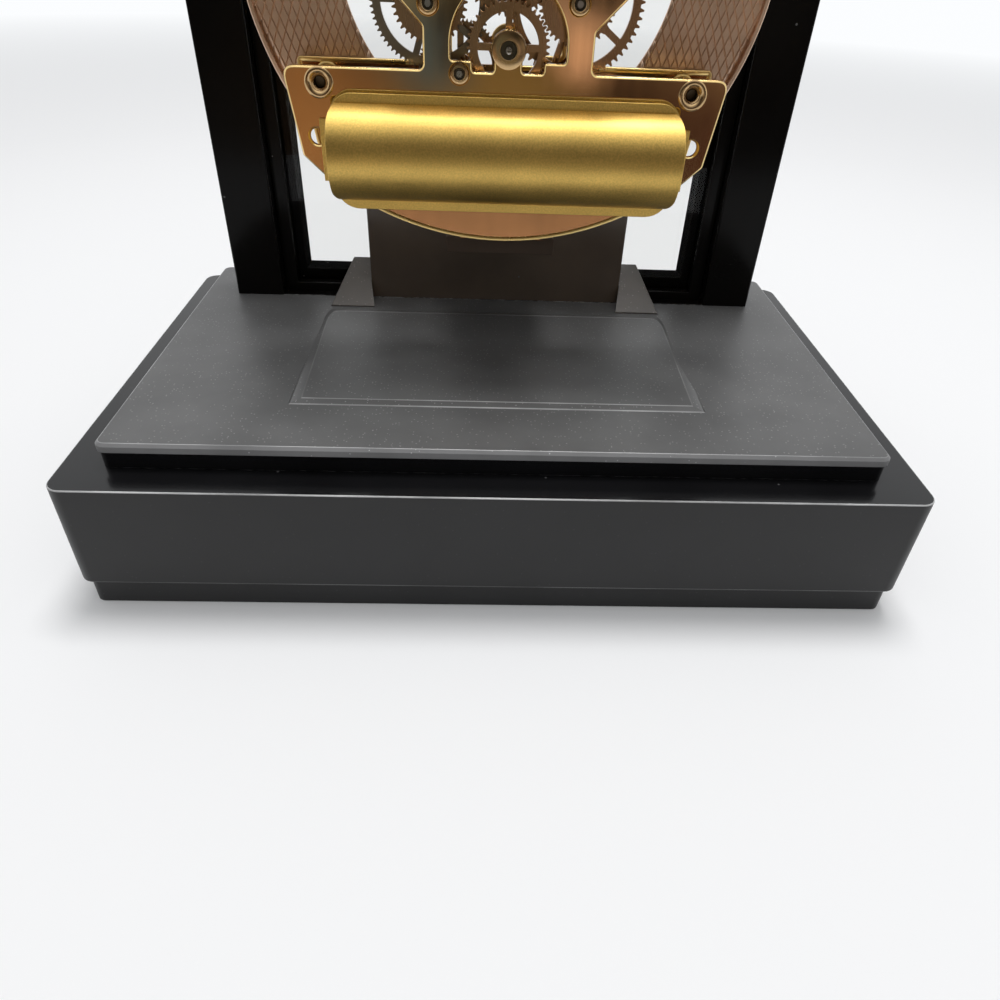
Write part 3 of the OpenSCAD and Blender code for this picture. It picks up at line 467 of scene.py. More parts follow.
pad = bmesh.new()
block(pad, (-pad_half_w, pad_front, deck_top - pad_foot), (pad_half_w, pad_rear, deck_top + pad_foot))
for corner in pad.verts:
    if corner.co.z < deck_top:
        corner.co.x += math.copysign(pad_flare, corner.co.x)
        corner.co.y += math.copysign(pad_flare, corner.co.y)
pad.normal_update()
pad_top = push(pad, face_at(pad, 2, deck_top + pad_foot, 1), pad_crest - deck_top - pad_foot)
for corner in pad_top.verts:
    corner.co.x -= math.copysign(pad_side_slope[corner.co.y > 0], corner.co.x)
    corner.co.y += pad_front_slope if corner.co.y < 0 else -pad_rear_slope
pad.normal_update()
front_corners = [e for e in pad.edges if all(v.co.y < 0 for v in e.verts)
                 and abs(e.verts[0].co.z - e.verts[1].co.z) > 0.5 * pad_foot]
soften(pad, front_corners, pad_round, 4)
# The pad's crest edges are painted pale, brighter where they face front or rear: painted highlights.
for strip in soften(pad, level_edges(pad, pad_crest), pad_line, 1):
    strip.material_index = 2 if abs(strip.normal.y) > abs(strip.normal.x) else 3
# The pad's foot strips that face the rear take the bright tone too: a painted highlight.
for face in pad.faces:
    if face.calc_center_median().z < deck_top + 0.5 * pad_foot and face.normal.z > 0:
        face.material_index = 2 if face.normal.y > 0.3 else 0


def join(bm, *others):
    """Adds the shapes of other bmeshes to the first one."""
    for other in others:
        spare = bpy.data.meshes.new("spare")
        other.to_mesh(spare)
        other.free()
        bm.from_mesh(spare)
        bpy.data.meshes.remove(spare)
    return bm


deck_piece = make_piece("deck_moulding", join(deck, neck, pad),
                        [satin_deck, gloss_black, pad_edge_highlight, pad_side_highlight, dashed_edge_highlight, deck_lit_side], sharp=20)
stands_for(deck_piece, "satin_black", "deck")

# Front frame: an arched gloss black moulding with a rabbet for the glass. One profile runs up a
# post, round the arch and down again, and a low rail joins the posts' feet. Behind the glass lie a
# sill and two strips that turn the lower corners.
frame_low, frame_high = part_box("front_frame")
pane_low, pane_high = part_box("glass_pane")
frame_out = frame_high.x
frame_lip = 45.9 * MM
frame_rabbet = pane_high.x + 0.1 * MM
frame_round = 0.5 * MM
band_in = frame_out - 8 * MM
band_back = 2.5 * MM
rail_top = deck_top + 4.7 * MM
rail_lap = 0.5 * MM
dial_centre = Vector((0, 0, frame_high.z - frame_out))
arch_steps = 72
strip_in = 48 * MM
strip_end = 33.5 * MM
strip_rear = pane_high.y + 2.05 * MM
strip_sill = deck_top + 2.05 * MM
strip_top = dial_centre.z - 2 * MM
strip_round = 0.3 * MM
sill_rise = 0.12 * MM


def edges_of(geom):
    """The edges among the things that an operator made."""
    return [g for g in geom if isinstance(g, bmesh.types.BMEdge)]


def edges_at(verts):
    """The edges that meet vertices, each named once."""
    return list(dict.fromkeys(e for v in verts for e in v.link_edges))


def carried(bm, geom, way):
    """Moves the vertices among the things that an operator made, and returns all of them."""
    bmesh.ops.translate(bm, verts=[g for g in geom if isinstance(g, bmesh.types.BMVert)], vec=way)
    return geom


def grown(bm, faces, way, **settings):
    """Extrudes faces and returns what is new."""
    return carried(bm, bmesh.ops.extrude_face_region(bm, geom=faces, **settings)["geom"], way)


def drawn_out(bm, edges, way):
    """Extrudes edges to a strip of faces and returns what is new."""
    return carried(bm, bmesh.ops.extrude_edge_only(bm, edges=edges)["geom"], way)


arch = bmesh.new()
outline = [(frame_out, frame_high.y), (frame_out, frame_low.y + band_back),
           (band_in, frame_low.y + band_back), (band_in, frame_low.y), (frame_lip, frame_low.y),
           (frame_lip, pane_low.y), (frame_rabbet, pane_low.y), (frame_rabbet, frame_high.y)]
profile = arch.faces.new([arch.verts.new((x, y, dial_centre.z)) for x, y in outline])
bmesh.ops.bevel(arch, geom=profile.verts[:], offset=frame_round, offset_type="OFFSET", segments=3,
                profile=0.5, affect="VERTICES", material=-1)
profile = arch.faces[:][0]
first_edges, first_verts = list(profile.edges), list(profile.verts)
bmesh.ops.delete(arch, geom=[profile], context="FACES_ONLY")
last = bmesh.ops.spin(arch, geom=first_verts + first_edges, cent=dial_centre, axis=(0, 1, 0), angle=-math.pi,
                      steps=arch_steps)["geom_last"]
for ends in (first_edges, edges_of(last)):
    post = drawn_out(arch, ends, (0, 0, frame_low.z - dial_centre.z))
    bmesh.ops.contextual_create(arch, geom=[e for e in edges_of(post)
                                            if all(abs(v.co.z - frame_low.z) < SAME for v in e.verts)])
bmesh.ops.recalc_face_normals(arch, faces=arch.faces)
rail_half = frame_lip + rail_lap
rail = block(arch, (-rail_half, frame_low.y, frame_low.z), (rail_half, pane_low.y, rail_top))
soften(arch, [e for e in edges_at(rail) if abs(e.verts[0].co.x - e.verts[1].co.x) > MM], frame_round)
sill_top = deck_top + sill_rise
sill = block(arch, (-frame_rabbet, pane_high.y, frame_low.z), (frame_rabbet, frame_high.y, sill_top))
sill_edge = [e for e in edges_at(sill)
             if all(v.co.y > frame_high.y - SAME and v.co.z > deck_top for v in e.verts)]
# The sill's rear edge takes the broken pale line: a painted highlight.
for face in soften(arch, sill_edge, 0.5 * sill_rise, 1):
    face.material_index = 2
strip = [(strip_end, deck_top), (frame_rabbet, deck_top), (frame_rabbet, strip_top), (strip_in, strip_top),
         (strip_in, strip_sill), (strip_end, strip_sill)]
for side in (-1, 1):
    bed = arch.faces.new([arch.verts.new((side * x, pane_high.y, z)) for x, z in strip])
    soften(arch, edges_of(grown(arch, [bed], (0, strip_rear - pane_high.y, 0))), strip_round)
bmesh.ops.recalc_face_normals(arch, faces=arch.faces)
frame_gloss = gloss("frame_gloss", (0.003, 0.0027, 0.0024), 0.09, 0.1)
matt_black = gloss("matt_black", (0.003, 0.003, 0.003), 0.55, 0.0)
for face in arch.faces:
    spot = face.calc_center_median()
    outward = Vector((spot.x, 0, max(spot.z - dial_centre.z, 0))).normalized()
    faces_in = outward.dot(face.normal) < -0.7
    on_rail = face.normal.z > 0.7 and spot.z < rail_top + MM
    if spot.y < pane_low.y and (faces_in or on_rail):
        face.material_index = 1
frame_piece = make_piece("frame_moulding", arch, [frame_gloss, matt_black, dashed_edge_highlight])
stands_for(frame_piece, "gloss_black", "front_frame")

# Glass: a flat pane cut to the arch, with ground edges. It sits in the frame's rabbet behind the
# front lip, held by small black clips that turn in over it.
pane_steps = 160
pane_edge = 0.2 * MM


def clear_glass(name):
    """Sheet glass tinted grey, which paints shade on what is seen through it, with the faintest green and wipe
    marks that hardly show.
    """
    material, tree, shader = surface(name)
    shader.inputs["Transmission Weight"].default_value = 1.0
    shader.inputs["IOR"].default_value = 1.25
    wipe = use(tree, hairlines, Scale=30.0, Turn=0.4, Stretch=0.3)
    # The grey tint darkens the table seen through the pane: painted shade.
    tint = ramp(tree, wipe, [(0.3, (0.85, 0.855, 0.845)), (0.7, (0.88, 0.885, 0.875))])
    tree.links.new(tint, shader.inputs["Base Color"])
    shader.inputs["Roughness"].default_value = 0.0
    return material


pane = bmesh.new()
upright = Matrix.Translation((0, pane_low.y, dial_centre.z)) @ Matrix.Rotation(math.pi / 2, 4, "X")
bmesh.ops.create_circle(pane, cap_ends=True, radius=pane_high.x, segments=pane_steps, matrix=upright)
cut(pane, dial_centre, (0, 0, 1), clear_inner=True)
drawn_out(pane, level_edges(pane, dial_centre.z), (0, 0, pane_low.z - dial_centre.z))
bmesh.ops.dissolve_limit(pane, angle_limit=0.001, verts=pane.verts, edges=pane.edges)
grown(pane, pane.faces[:], (0, pane_high.y - pane_low.y, 0))
bmesh.ops.recalc_face_normals(pane, faces=pane.faces)
soften(pane, sharp_edges(pane), pane_edge, 1)
stands_for(make_piece("pane_sheet", pane, [clear_glass("pane_glass_shaded")]), "clear_glass", "glass_pane")
softened("glass_clips", "pane_clips", satin_black, "satin_black", width=0.3 * MM, segments=3)

# Pedestal: the gloss block that carries the movement on a shelf, with two satin ears that slope
# down to the deck behind the glass. It is screwed up from under the plinth. The shelf's faces behind
# the block are painted in a darker, matt copy of the block's plastic: painted shade under the plate.
seat_low, seat_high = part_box("pedestal")
block_half = 29.8 * MM
block_rear = frame_high.y
block_round = 0.35 * MM
shelf_half = 11 * MM
shelf_t = 3.4 * MM
shelf_drop = 0.02 * MM
ear_h = 8 * MM
ear_rear = block_rear + 6 * MM
ear_taper = 4.5 * MM
ear_foot = 0.3 * MM
ear_lap = 0.05 * MM
ear_round = 0.5 * MM
toe_w = 1.1 * MM
satin_ear = moulded_black("satin_ear", (0.084, 0.074, 0.066), 0.36, 0.16)
block_gloss = gloss("block_gloss", (0.062, 0.046, 0.034), 0.1, 0.5)
# A darker, matt copy of the block's plastic for the shelf: painted shade.
shelf_shade_black = gloss("shelf_shade_black", (0.045, 0.033, 0.025), 0.6, 0.03)

pedestal = bmesh.new()
block(pedestal, (-block_half, seat_low.y, deck_top), (block_half, block_rear, seat_high.z))
block(pedestal, (-shelf_half, block_rear - MM, seat_high.z - shelf_t),
      (shelf_half, seat_high.y, seat_high.z - shelf_drop))
soften(pedestal, pedestal.edges[:], block_round, 3)
toe_z = deck_top + ear_foot
ear_slope = (ear_h - ear_foot) / (ear_rear - seat_low.y)
toe_top = toe_z + ear_slope * (ear_rear - block_rear)
for side in (-1, 1):
    root = side * (block_half - ear_lap)
    tip = side * seat_high.x
    top = side * (seat_high.x - ear_taper)
    corners = [(root, ear_rear, deck_top), (tip, ear_rear, deck_top), (root, ear_rear, toe_z),
               (tip, ear_rear, toe_z), (top, seat_low.y, deck_top), (root, seat_low.y, deck_top),
               (root, seat_low.y, deck_top + ear_h), (top, seat_low.y, deck_top + ear_h)]
    ear_verts = [pedestal.verts.new(c) for c in corners]
    bmesh.ops.convex_hull(pedestal, input=ear_verts)
    bmesh.ops.dissolve_limit(pedestal, angle_limit=0.01, verts=ear_verts, edges=edges_at(ear_verts))
    soften(pedestal, [e for e in edges_at(ear_verts) if max(v.co.z for v in e.verts) > deck_top + MM
                      and not all(abs(v.co.x - root) < SAME for v in e.verts)], ear_round, 3)
    wall, toe = side * block_half, root - side * toe_w
    corners = [(wall, block_rear, deck_top), (wall, block_rear, toe_top), (wall, ear_rear, deck_top),
               (wall, ear_rear, toe_z), (toe, ear_rear, deck_top), (toe, ear_rear, toe_z)]
    bmesh.ops.convex_hull(pedestal, input=[pedestal.verts.new(c) for c in corners])
for face in pedestal.faces:
    spot = face.calc_center_median()
    stands_out = spot.y > block_rear + ear_lap
    if spot.z < deck_top + ear_h + 2 * ear_lap and (abs(spot.x) > block_half + ear_lap or stands_out):
        face.material_index = 1
    # Faces of the shelf that stand out behind the block take the darker copy: painted shade.
    elif stands_out:
        face.material_index = 2
pedestal_piece = make_piece("pedestal_block", pedestal, [block_gloss, satin_ear, shelf_shade_black])
stands_for(pedestal_piece, "gloss_black", "pedestal")

# Movement plates: two sheets of polished, lacquered brass, stamped out and coined along every
# edge, so that the edges shine; their brass is also painted paler there, a painted highlight. The
# front plate's brass is painted darker than the back plate's: painted shade.


def polished_brass(name, tone, rough):
    """Polished brass: warm, with a slow change of tone, hairlines and a slightly uneven lacquer."""
    material, tree, shader = surface(name)
    cloud = use(tree, mottle, Scale=70.0, Detail=4.0)
    lines = use(tree, hairlines, Scale=600.0, Turn=0.5, Stretch=0.02)
    tint = ramp(tree, cloud, [(0.3, shaded(tone, 0.8)), (0.7, tone)])
    coat(tree, shader, tint, spread(tree, lines, rough, rough + 0.1), metal=1.0)
    shader.inputs["Coat Weight"].default_value = 0.25
    shader.inputs["Coat Roughness"].default_value = 0.08
    roughen(tree, shader, use(tree, mottle, Scale=240.0, Detail=2.0), 0.012 * MM, 0.5)
    return material


def area(points):
    """The area inside an outline in X and Z, above 0 when it runs from X towards Z."""
    return sum(p.x * q.z - q.x * p.z for p, q in zip(points, points[1:] + points[:1])) / 2


def outlines(bm, plane):
    """The closed outlines of the flat side of a sheet at a place along Y, the outer one first."""
    side = {f for f in bm.faces if abs(f.normal.y) > 0.99 and abs(f.calc_center_median().y - plane) < SAME}
    rim = [e for e in bm.edges if sum(f in side for f in e.link_faces) == 1]
    loops = []
    while rim:
        edge = rim.pop(0)
        loop = list(edge.verts)
        while edge:
            edge = next((e for e in loop[-1].link_edges if e in rim), None)
            if edge:
                rim.remove(edge)
                loop.append(edge.other_vert(loop[-1]))
        loops.append([v.co.copy() for v in loop[:-1]])
    return sorted(loops, key=lambda points: -abs(area(points)))


def bend(start, corner, end, steps=6):
    """Points along a curve that rounds a corner off."""
    shares = [i / steps for i in range(steps + 1)]
    return [start * (1 - t) ** 2 + corner * 2 * t * (1 - t) + end * t * t for t in shares]


def rounded_off(points, corner, reach):
    """An outline with all that lies within reach of a corner drawn anew as one curve."""
    near = [(p - corner).length < reach for p in points]
    last = next(i for i in range(len(points)) if near[i - 1] and not near[i])
    kept = [p for p in points[last:] + points[:last] if (p - corner).length >= reach]
    ends = [corner + (p - corner).normalized() * reach for p in (kept[-1], kept[0])]
    return kept + bend(ends[0], corner, ends[1])


def eased(points, radius):
    """An outline with its sharp corners rounded as far as its sides allow."""
    drawn = []
    for before, at, after in zip(points[-1:] + points[:-1], points, points[1:] + points[:1]):
        back, on = before - at, after - at
        opening = back.angle(on)
        if opening > math.radians(150):
            drawn.append(at)
        else:
            reach = min(radius / math.tan(opening / 2), 0.4 * back.length, 0.4 * on.length)
            drawn += bend(at + back.normalized() * reach, at, at + on.normalized() * reach)
    return drawn


def drawn_in(points, width):
    """An outline moved into the sheet by a width."""
    sides = zip(points, points[1:] + points[:1])
    normals = [Vector((p.z - q.z, 0, q.x - p.x)).normalized() for p, q in sides]
    return [p + (m + n) * width / (1 + m.dot(n))
            for p, m, n in zip(points, normals[-1:] + normals[:-1], normals)]


def coined_edge(bm, points, front, rear, edge):
    """A strip along an outline, from (way in, depth) points in mm. Returns the rings of edges that end it."""
    lines = [(drawn_in(points, way_in * MM), depth * MM) for way_in, depth in edge]
    rings = [[bm.verts.new((p.x, front + depth, p.z)) for p in line] for line, depth in lines[::-1]]
    rings += [[bm.verts.new((p.x, rear - depth, p.z)) for p in line] for line, depth in lines]
    for step, (low, high) in enumerate(zip(rings, rings[1:])):
        for i in range(len(low)):
            face = bm.faces.new((low[i - 1], low[i], high[i], high[i - 1]))
            # All strips but the side wall take the sheet's second material, a paler brass: a painted highlight.
            face.material_index = step != len(edge) - 1
            face.smooth = True
    ends = [[bm.edges.get((ring[i - 1], ring[i])) for i in range(len(ring))] for ring in (rings[0], rings[-1])]
    for line in ends[0] + ends[1]:
        line.smooth = False
    return ends


def coined_sheet(loops, front, rear, edge):
    """A flat sheet between two places along Y, with the same edge along all its outlines."""
    bm = bmesh.new()
    ends = [coined_edge(bm, points, front, rear, edge) for points in loops]
    for flat in zip(*ends):
        bmesh.ops.triangle_fill(bm, edges=[line for ring in flat for line in ring], use_beauty=True)
    bmesh.ops.recalc_face_normals(bm, faces=bm.faces)
    return bm


def rimmed_sheet(loops, front, rear, edge):
    """A thinner sheet with a raised rim along all its outlines. Rims that meet run into each other."""
    sunk = edge[-1][1] * MM
    bm = coined_sheet(loops, front + sunk, rear - sunk, [(core_in, 0)])
    for points in loops:
        bmesh.ops.bridge_loops(bm, edges=sum(coined_edge(bm, points, front, rear, edge), []))
    bmesh.ops.recalc_face_normals(bm, faces=bm.faces)
    return bm


plate_t = 1.2 * MM
front_edge = [(0, 0.34), (0.06, 0.08), (0.14, 0.02), (0.66, 0), (0.82, 0.26)]
back_edge = [(0, 0.4), (0.1, 0.14), (0.34, 0)]
core_in = 0.1
corner_ease = 0.5 * MM
cheek_reach = 2.3 * MM
apron_r = 55.5 * MM
apron_hub = Vector((0, 0, seat_high.z + 0.3 * MM + apron_r))
apron_steps = 8
shoulder_lift = 0.2 * MM
tongue_half = 8 * MM


def plate_sheet(node, edge):
    """A plate drawn again from its CAD outline with eased corners and coined edges."""
    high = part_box(node)[1]
    loops = outlines(merged_copy(node), high.y)
    for point in (p for loop in loops for p in loop):
        point.y = 0
    outer = loops[0]
    shoulder = max(p.z for p in outer if abs(p.x) > high.x - 3 * MM)
    if node == "front_plate":
        outer = [p for p in outer if (p - apron_hub).length < apron_r + 0.1 * MM]
        chord = next(i for i in range(len(outer)) if outer[i].z < apron_hub.z - 0.9 * apron_r
                     and (outer[i] - outer[i - 1]).length > tongue_half)
        ends = [math.atan2(outer[i].x, apron_hub.z - outer[i].z) for i in (chord - 1, chord)]
        turns = [ends[0] + (ends[1] - ends[0]) * i / apron_steps for i in range(1, apron_steps)]
        outer[chord:chord] = [apron_hub + Vector((math.sin(t), 0, -math.cos(t))) * apron_r for t in turns]
        for point in outer:
            if abs(point.x) > 0.4 * high.x and abs(point.z - shoulder) < MM:
                point.z += shoulder_lift
    else:
        for side in (-1, 1):
            outer = rounded_off(outer, Vector((side * high.x, 0, shoulder)), cheek_reach)
    drawn = [eased(loop, corner_ease) for loop in (outer, *loops[1:])]
    drawn = [points if (area(points) > 0) == (number == 0) else points[::-1]
             for number, points in enumerate(drawn)]
    made = rimmed_sheet if edge[-1][1] else coined_sheet
    return made(drawn, high.y - plate_t, high.y, edge)


# A darker copy of the plate brass for the front plate, painted shade, and a paler one for its rims, a painted
# highlight.
front_brass_shaded = polished_brass("front_brass_shaded", (0.44, 0.20, 0.075), 0.18)
rim_brass_highlight = polished_brass("rim_brass_highlight", (1.0, 0.74, 0.3), 0.24)
front_sheet = plate_sheet("front_plate", front_edge)
front_low, front_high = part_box("front_plate")
block(front_sheet, (-tongue_half, front_low.y, front_low.z),
      (tongue_half, front_high.y - 2 * plate_t, front_low.z + plate_t))
front_piece = make_piece("front_plate_stamping", front_sheet, [front_brass_shaded, rim_brass_highlight], sharp=None)
stands_for(front_piece, "plate_brass", "front_plate")
plate_brass = polished_brass("plate_brass", (0.74, 0.44, 0.20), 0.06)
# A paler copy for the back plate's coined edges: a painted highlight.
edge_brass_highlight = polished_brass("edge_brass_highlight", (0.86, 0.62, 0.26), 0.16)
back_sheet = plate_sheet("back_plate", back_edge)
back_piece = make_piece("back_plate_stamping", back_sheet, [plate_brass, edge_brass_highlight], sharp=None)
stands_for(back_piece, "plate_brass", "back_plate")

# Pillars: turned posts between the plates. Their hollow ends are rolled over outside the plates
# like eyelets. Each hollow is closed a little way in by a floor, and the floor and bore are painted dark
# as the shade deep inside the tube.
pillar_low, pillar_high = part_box("pillars")
plate_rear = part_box("back_plate")[1].y
plate_front = pillar_low.y + pillar_high.y - plate_rear
rear_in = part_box("back_plate")[0].y
front_in = plate_front + plate_t
pillar_spots = [(s * x * MM, z * MM) for s in (-1, 1) for x, z in ((31.2, -19), (9, 12))]
pillar_r = 1.8 * MM
pillar_end = 1.2 * MM
eyelet_r = 2.4 * MM
eyelet_hole = 0.85 * MM
eyelet_floor = plate_rear - 1.8 * MM
eyelet_roll = [(1.45, 0.3), (1.75, 0.03), (1.95, 0), (2.2, 0.06), (2.4, 0.25)]
rivet_break = 0.15 * MM
turned_brass = bare_metal("turned_brass", (0.60, 0.41, 0.21), 0.14)

post = [(0, eyelet_floor), (eyelet_hole, eyelet_floor), (eyelet_hole, plate_rear - 0.5 * MM),
        (1.0 * MM, plate_rear - 0.25 * MM), *((r * MM, pillar_high.y - depth * MM) for r, depth in eyelet_roll),
        (eyelet_r, plate_rear), (pillar_end, plate_rear), (pillar_end, rear_in), (pillar_r, rear_in),
        (pillar_r, front_in), (pillar_end, front_in), (pillar_end, plate_front), (eyelet_r, plate_front),
        (eyelet_r, pillar_low.y + rivet_break), (eyelet_r - rivet_break, pillar_low.y), (0, pillar_low.y)]
pillars = bmesh.new()
for x, z in pillar_spots:
    turned(pillars, post, dial_centre + Vector((x, 0, z)))
# Faces inside the bore, its floor included, are painted dark: painted shade.
for face in pillars.faces:
    axis = min((dial_centre + Vector((x, 0, z)) for x, z in pillar_spots),
               key=lambda c: (face.calc_center_median() - c).xz.length)
    if max((v.co - axis).xz.length for v in face.verts) < eyelet_hole + 0.01 * MM:
        face.material_index = 1
# A dark brass for the inside of the bore: painted shade.
eyelet_hollow_shade = bare_metal("eyelet_hollow_shade", (0.17, 0.13, 0.085), 0.4)
stands_for(make_piece("pillar_posts", pillars, [turned_brass, eyelet_hollow_shade]), "bush_brass", "pillars")

# Bushes: turned brass bearings pressed into the plates, with a flange outside and a ring turned
# round the oil sink.
setting_spot = (0, -13.4 * MM)
arbor_spots = [(0, 0), (13 * MM, -7.4 * MM), (-11 * MM, -6.8 * MM), setting_spot, (8 * MM, -17 * MM)]
bush_body = 1.44 * MM
bush_bore = 0.54 * MM
bush_flange = 1.56 * MM
setting_flange = 2.8 * MM
flange_t = 0.5 * MM
sink_share = 0.36
sink_turn = [(-0.12, 0.28), (0, 0.1), (0.1, 0)]
flange_turn = [(-0.2, 0), (-0.06, 0.06), (0, 0.2)]
pipe_bore = 1.34 * MM
pipe_body = 2.24 * MM
pipe_flange = pipe_body + 0.8 * MM


def bush(bm, spot, outer, inner, body, bore, flange):
    """One bush: a body in the plate from its inner face, and a flange that stands out from its outer face."""
    out = math.copysign(1, outer - inner)
    rim = outer + out * flange_t
    sink = bore + sink_share * (flange - bore)
    turned(bm, [(bore, inner), (bore, rim - out * 0.3 * MM),
                *((sink + r * MM, rim - out * depth * MM) for r, depth in sink_turn),
                *((flange + r * MM, rim - out * depth * MM) for r, depth in flange_turn),
                (flange, outer), (body, outer), (body, inner), (bore, inner)], spot)
    for face in bm.faces:
        if max((v.co - spot).xz.length for v in face.verts) < sink + 0.01 * MM:
            face.material_index = 1


oil_dark = bare_metal("oil_dark", (0.10, 0.085, 0.06), 0.2)
rear_bushes = bmesh.new()
front_bushes = bmesh.new()
for x, z in arbor_spots:
    spot = dial_centre + Vector((x, 0, z))
    rear_flange = setting_flange if (x, z) == setting_spot else bush_flange
    bush(rear_bushes, spot, plate_rear, rear_in, bush_body, bush_bore, rear_flange)
    hub = (x, z) == (0, 0)
    sizes = (pipe_body, pipe_bore, pipe_flange) if hub else (bush_body, bush_bore, bush_flange)
    bush(front_bushes, spot, plate_front, front_in, *sizes)
stands_for(make_piece("rear_bush_set", rear_bushes, [turned_brass, oil_dark]), "bush_brass", "rear_bushes")
stands_for(make_piece("front_bush_set", front_bushes, [turned_brass, oil_dark]), "bush_brass", "front_bushes")

# Dial: a flat brass ring with a thin rim, stamped with rows of tall diamonds on its rear and
# finished in satin gold in front, where the hours and minutes are printed in black.
dial_low, dial_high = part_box("dial")
dial_in = 28.65 * MM
dial_out = dial_high.x
dial_rim = 0.7 * MM
dial_rear = plate_front - 1.8 * MM
dial_break = 0.25 * MM
rim_break = 0.15 * MM
bore_break = (0.12 * MM, 0.1 * MM)
dial_steps = 160
diamond_w = 1.5 * MM
diamond_h = 3.7 * MM
diamond_groove = 0.13 * MM
diamond_rise = 0.14 * MM
stamp_lift = 0.03 * MM
stamp_root = 0.3 * MM
die_in = dial_in + 0.05 * MM


def stamped_brass(name, tone, rough):
    """Brass with a dull, slightly brown skin, brighter where it is rubbed."""
    material, tree, shader = surface(name)
    cloud = use(tree, mottle, Scale=90.0, Detail=4.0)
    grit = use(tree, mottle, Scale=3000.0, Detail=2.0)
    tint = ramp(tree, cloud, [(0.3, shaded(tone, 0.75)), (0.7, tone)])
    coat(tree, shader, tint, spread(tree, grit, rough, rough + 0.16), metal=1.0)
    roughen(tree, shader, grit, 0.006 * MM, 0.4)
    return material


def satin_gold(name, tone, rough):
    """Gold-coloured metal with a fine blasted grain that breaks up its shine."""
    material, tree, shader = surface(name)
    grain = use(tree, mottle, Scale=3400.0, Detail=3.0)
    cloud = use(tree, mottle, Scale=160.0, Detail=3.0)
    patchy = ramp(tree, cloud, [(0.3, shaded(tone, 0.9)), (0.7, tone)])
    sparkle = ramp(tree, grain, [(0.35, (0.8, 0.8, 0.8)), (0.65, (1, 1, 1))])
    grained = mixed(tree, 1.0, patchy, sparkle, blend_type="MULTIPLY")
    coat(tree, shader, grained, spread(tree, grain, rough - 0.05, rough + 0.1), metal=1.0)
    roughen(tree, shader, grain, 0.02 * MM, 0.6)
    return material


dial_brass = stamped_brass("dial_brass", (0.86, 0.63, 0.47), 0.26)
dial_gold = satin_gold("dial_gold", (0.80, 0.56, 0.20), 0.32)

ring = bmesh.new()
turned(ring, [(dial_in, dial_rear - bore_break[1]), (dial_in + bore_break[0], dial_rear),
              (dial_out - dial_rim, dial_rear), (dial_out - dial_rim, dial_high.y),
              (dial_out - rim_break, dial_high.y), (dial_out, dial_high.y - rim_break),
              (dial_out, dial_low.y + dial_break), (dial_out - dial_break, dial_low.y),
              (dial_in + dial_break, dial_low.y), (dial_in, dial_low.y + dial_break),
              (dial_in, dial_rear - bore_break[1])], dial_centre, steps=dial_steps)
for face in ring.faces:
    if face.normal.y < -0.3:
        face.material_index = 1
ring_piece = make_piece("dial_ring", ring, [dial_brass, dial_gold])
stands_for(ring_piece, "dial_brass", "dial")

lattice_cells = 2 * math.ceil(dial_out * (1 / diamond_w + 1 / diamond_h))
lattice = bmesh.new()
bmesh.ops.create_grid(lattice, x_segments=lattice_cells, y_segments=lattice_cells, size=lattice_cells / 2)
bmesh.ops.rotate(lattice, verts=lattice.verts, matrix=Matrix.Rotation(math.pi / 4, 3, "Z"))
bmesh.ops.scale(lattice, verts=lattice.verts, vec=(diamond_w / math.sqrt(2), diamond_h / math.sqrt(2), 1))
bmesh.ops.rotate(lattice, verts=lattice.verts, matrix=Matrix.Rotation(-math.pi / 2, 3, "X"))
bmesh.ops.translate(lattice, verts=lattice.verts, vec=dial_centre + Vector((0, dial_rear + stamp_lift, 0)))
far = [f for f in lattice.faces
       if not dial_in - diamond_h < (f.calc_center_median() - dial_centre).xz.length < dial_out + diamond_h]
bmesh.ops.delete(lattice, geom=far, context="FACES")
lattice.normal_update()
bmesh.ops.inset_individual(lattice, faces=lattice.faces[:], thickness=diamond_groove, depth=diamond_rise,
                           use_even_offset=True)
grown(lattice, lattice.faces[:], (0, -stamp_root, 0), use_keep_orig=True)
bmesh.ops.recalc_face_normals(lattice, faces=lattice.faces)
stamp = make_piece("dial_diamonds", lattice, [dial_brass], sharp=10)

die = bmesh.new()
turned(die, [(die_in, dial_low.y), (dial_out - dial_rim, dial_low.y), (dial_out - dial_rim, dial_high.y),
             (die_in, dial_high.y), (die_in, dial_low.y)], dial_centre, steps=dial_steps)
die_piece = make_piece("dial_die", die, [])
trim = stamp.modifiers.new("trim", "BOOLEAN")
trim.operation = "INTERSECT"
trim.solver = "EXACT"
trim.object = die_piece
trimmed = bpy.data.meshes.new_from_object(stamp.evaluated_get(bpy.context.evaluated_depsgraph_get()))
stamp.modifiers.clear()
stamp.data = trimmed
bpy.data.objects.remove(die_piece)
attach(stamp, "case")

# Dial print: black Roman hours with their feet to the centre, between two fine circles, and a
# ring of minute strokes outside them. It is a thin film of ink on the gold.
ink_t = 0.05 * MM
hour_r = 35 * MM
hour_h = 7.6 * MM
thick_stroke = 1.15 * MM
thin_stroke = 0.35 * MM
serif_l = 1.5 * MM
letter_gap = 0.5 * MM
letter_w = {"I": 1.6 * MM, "V": 4.6 * MM, "X": 4.8 * MM}
hour_letters = ["XII", "I", "II", "III", "IIII", "V", "VI", "VII", "VIII", "IX", "X", "XI"]
minute_in = 41.3 * MM
minute_out = 43.2 * MM
minute_w = 0.3 * MM
fifth_w = 0.8 * MM
circle_w = 0.22 * MM
circle_gap = 1.1 * MM


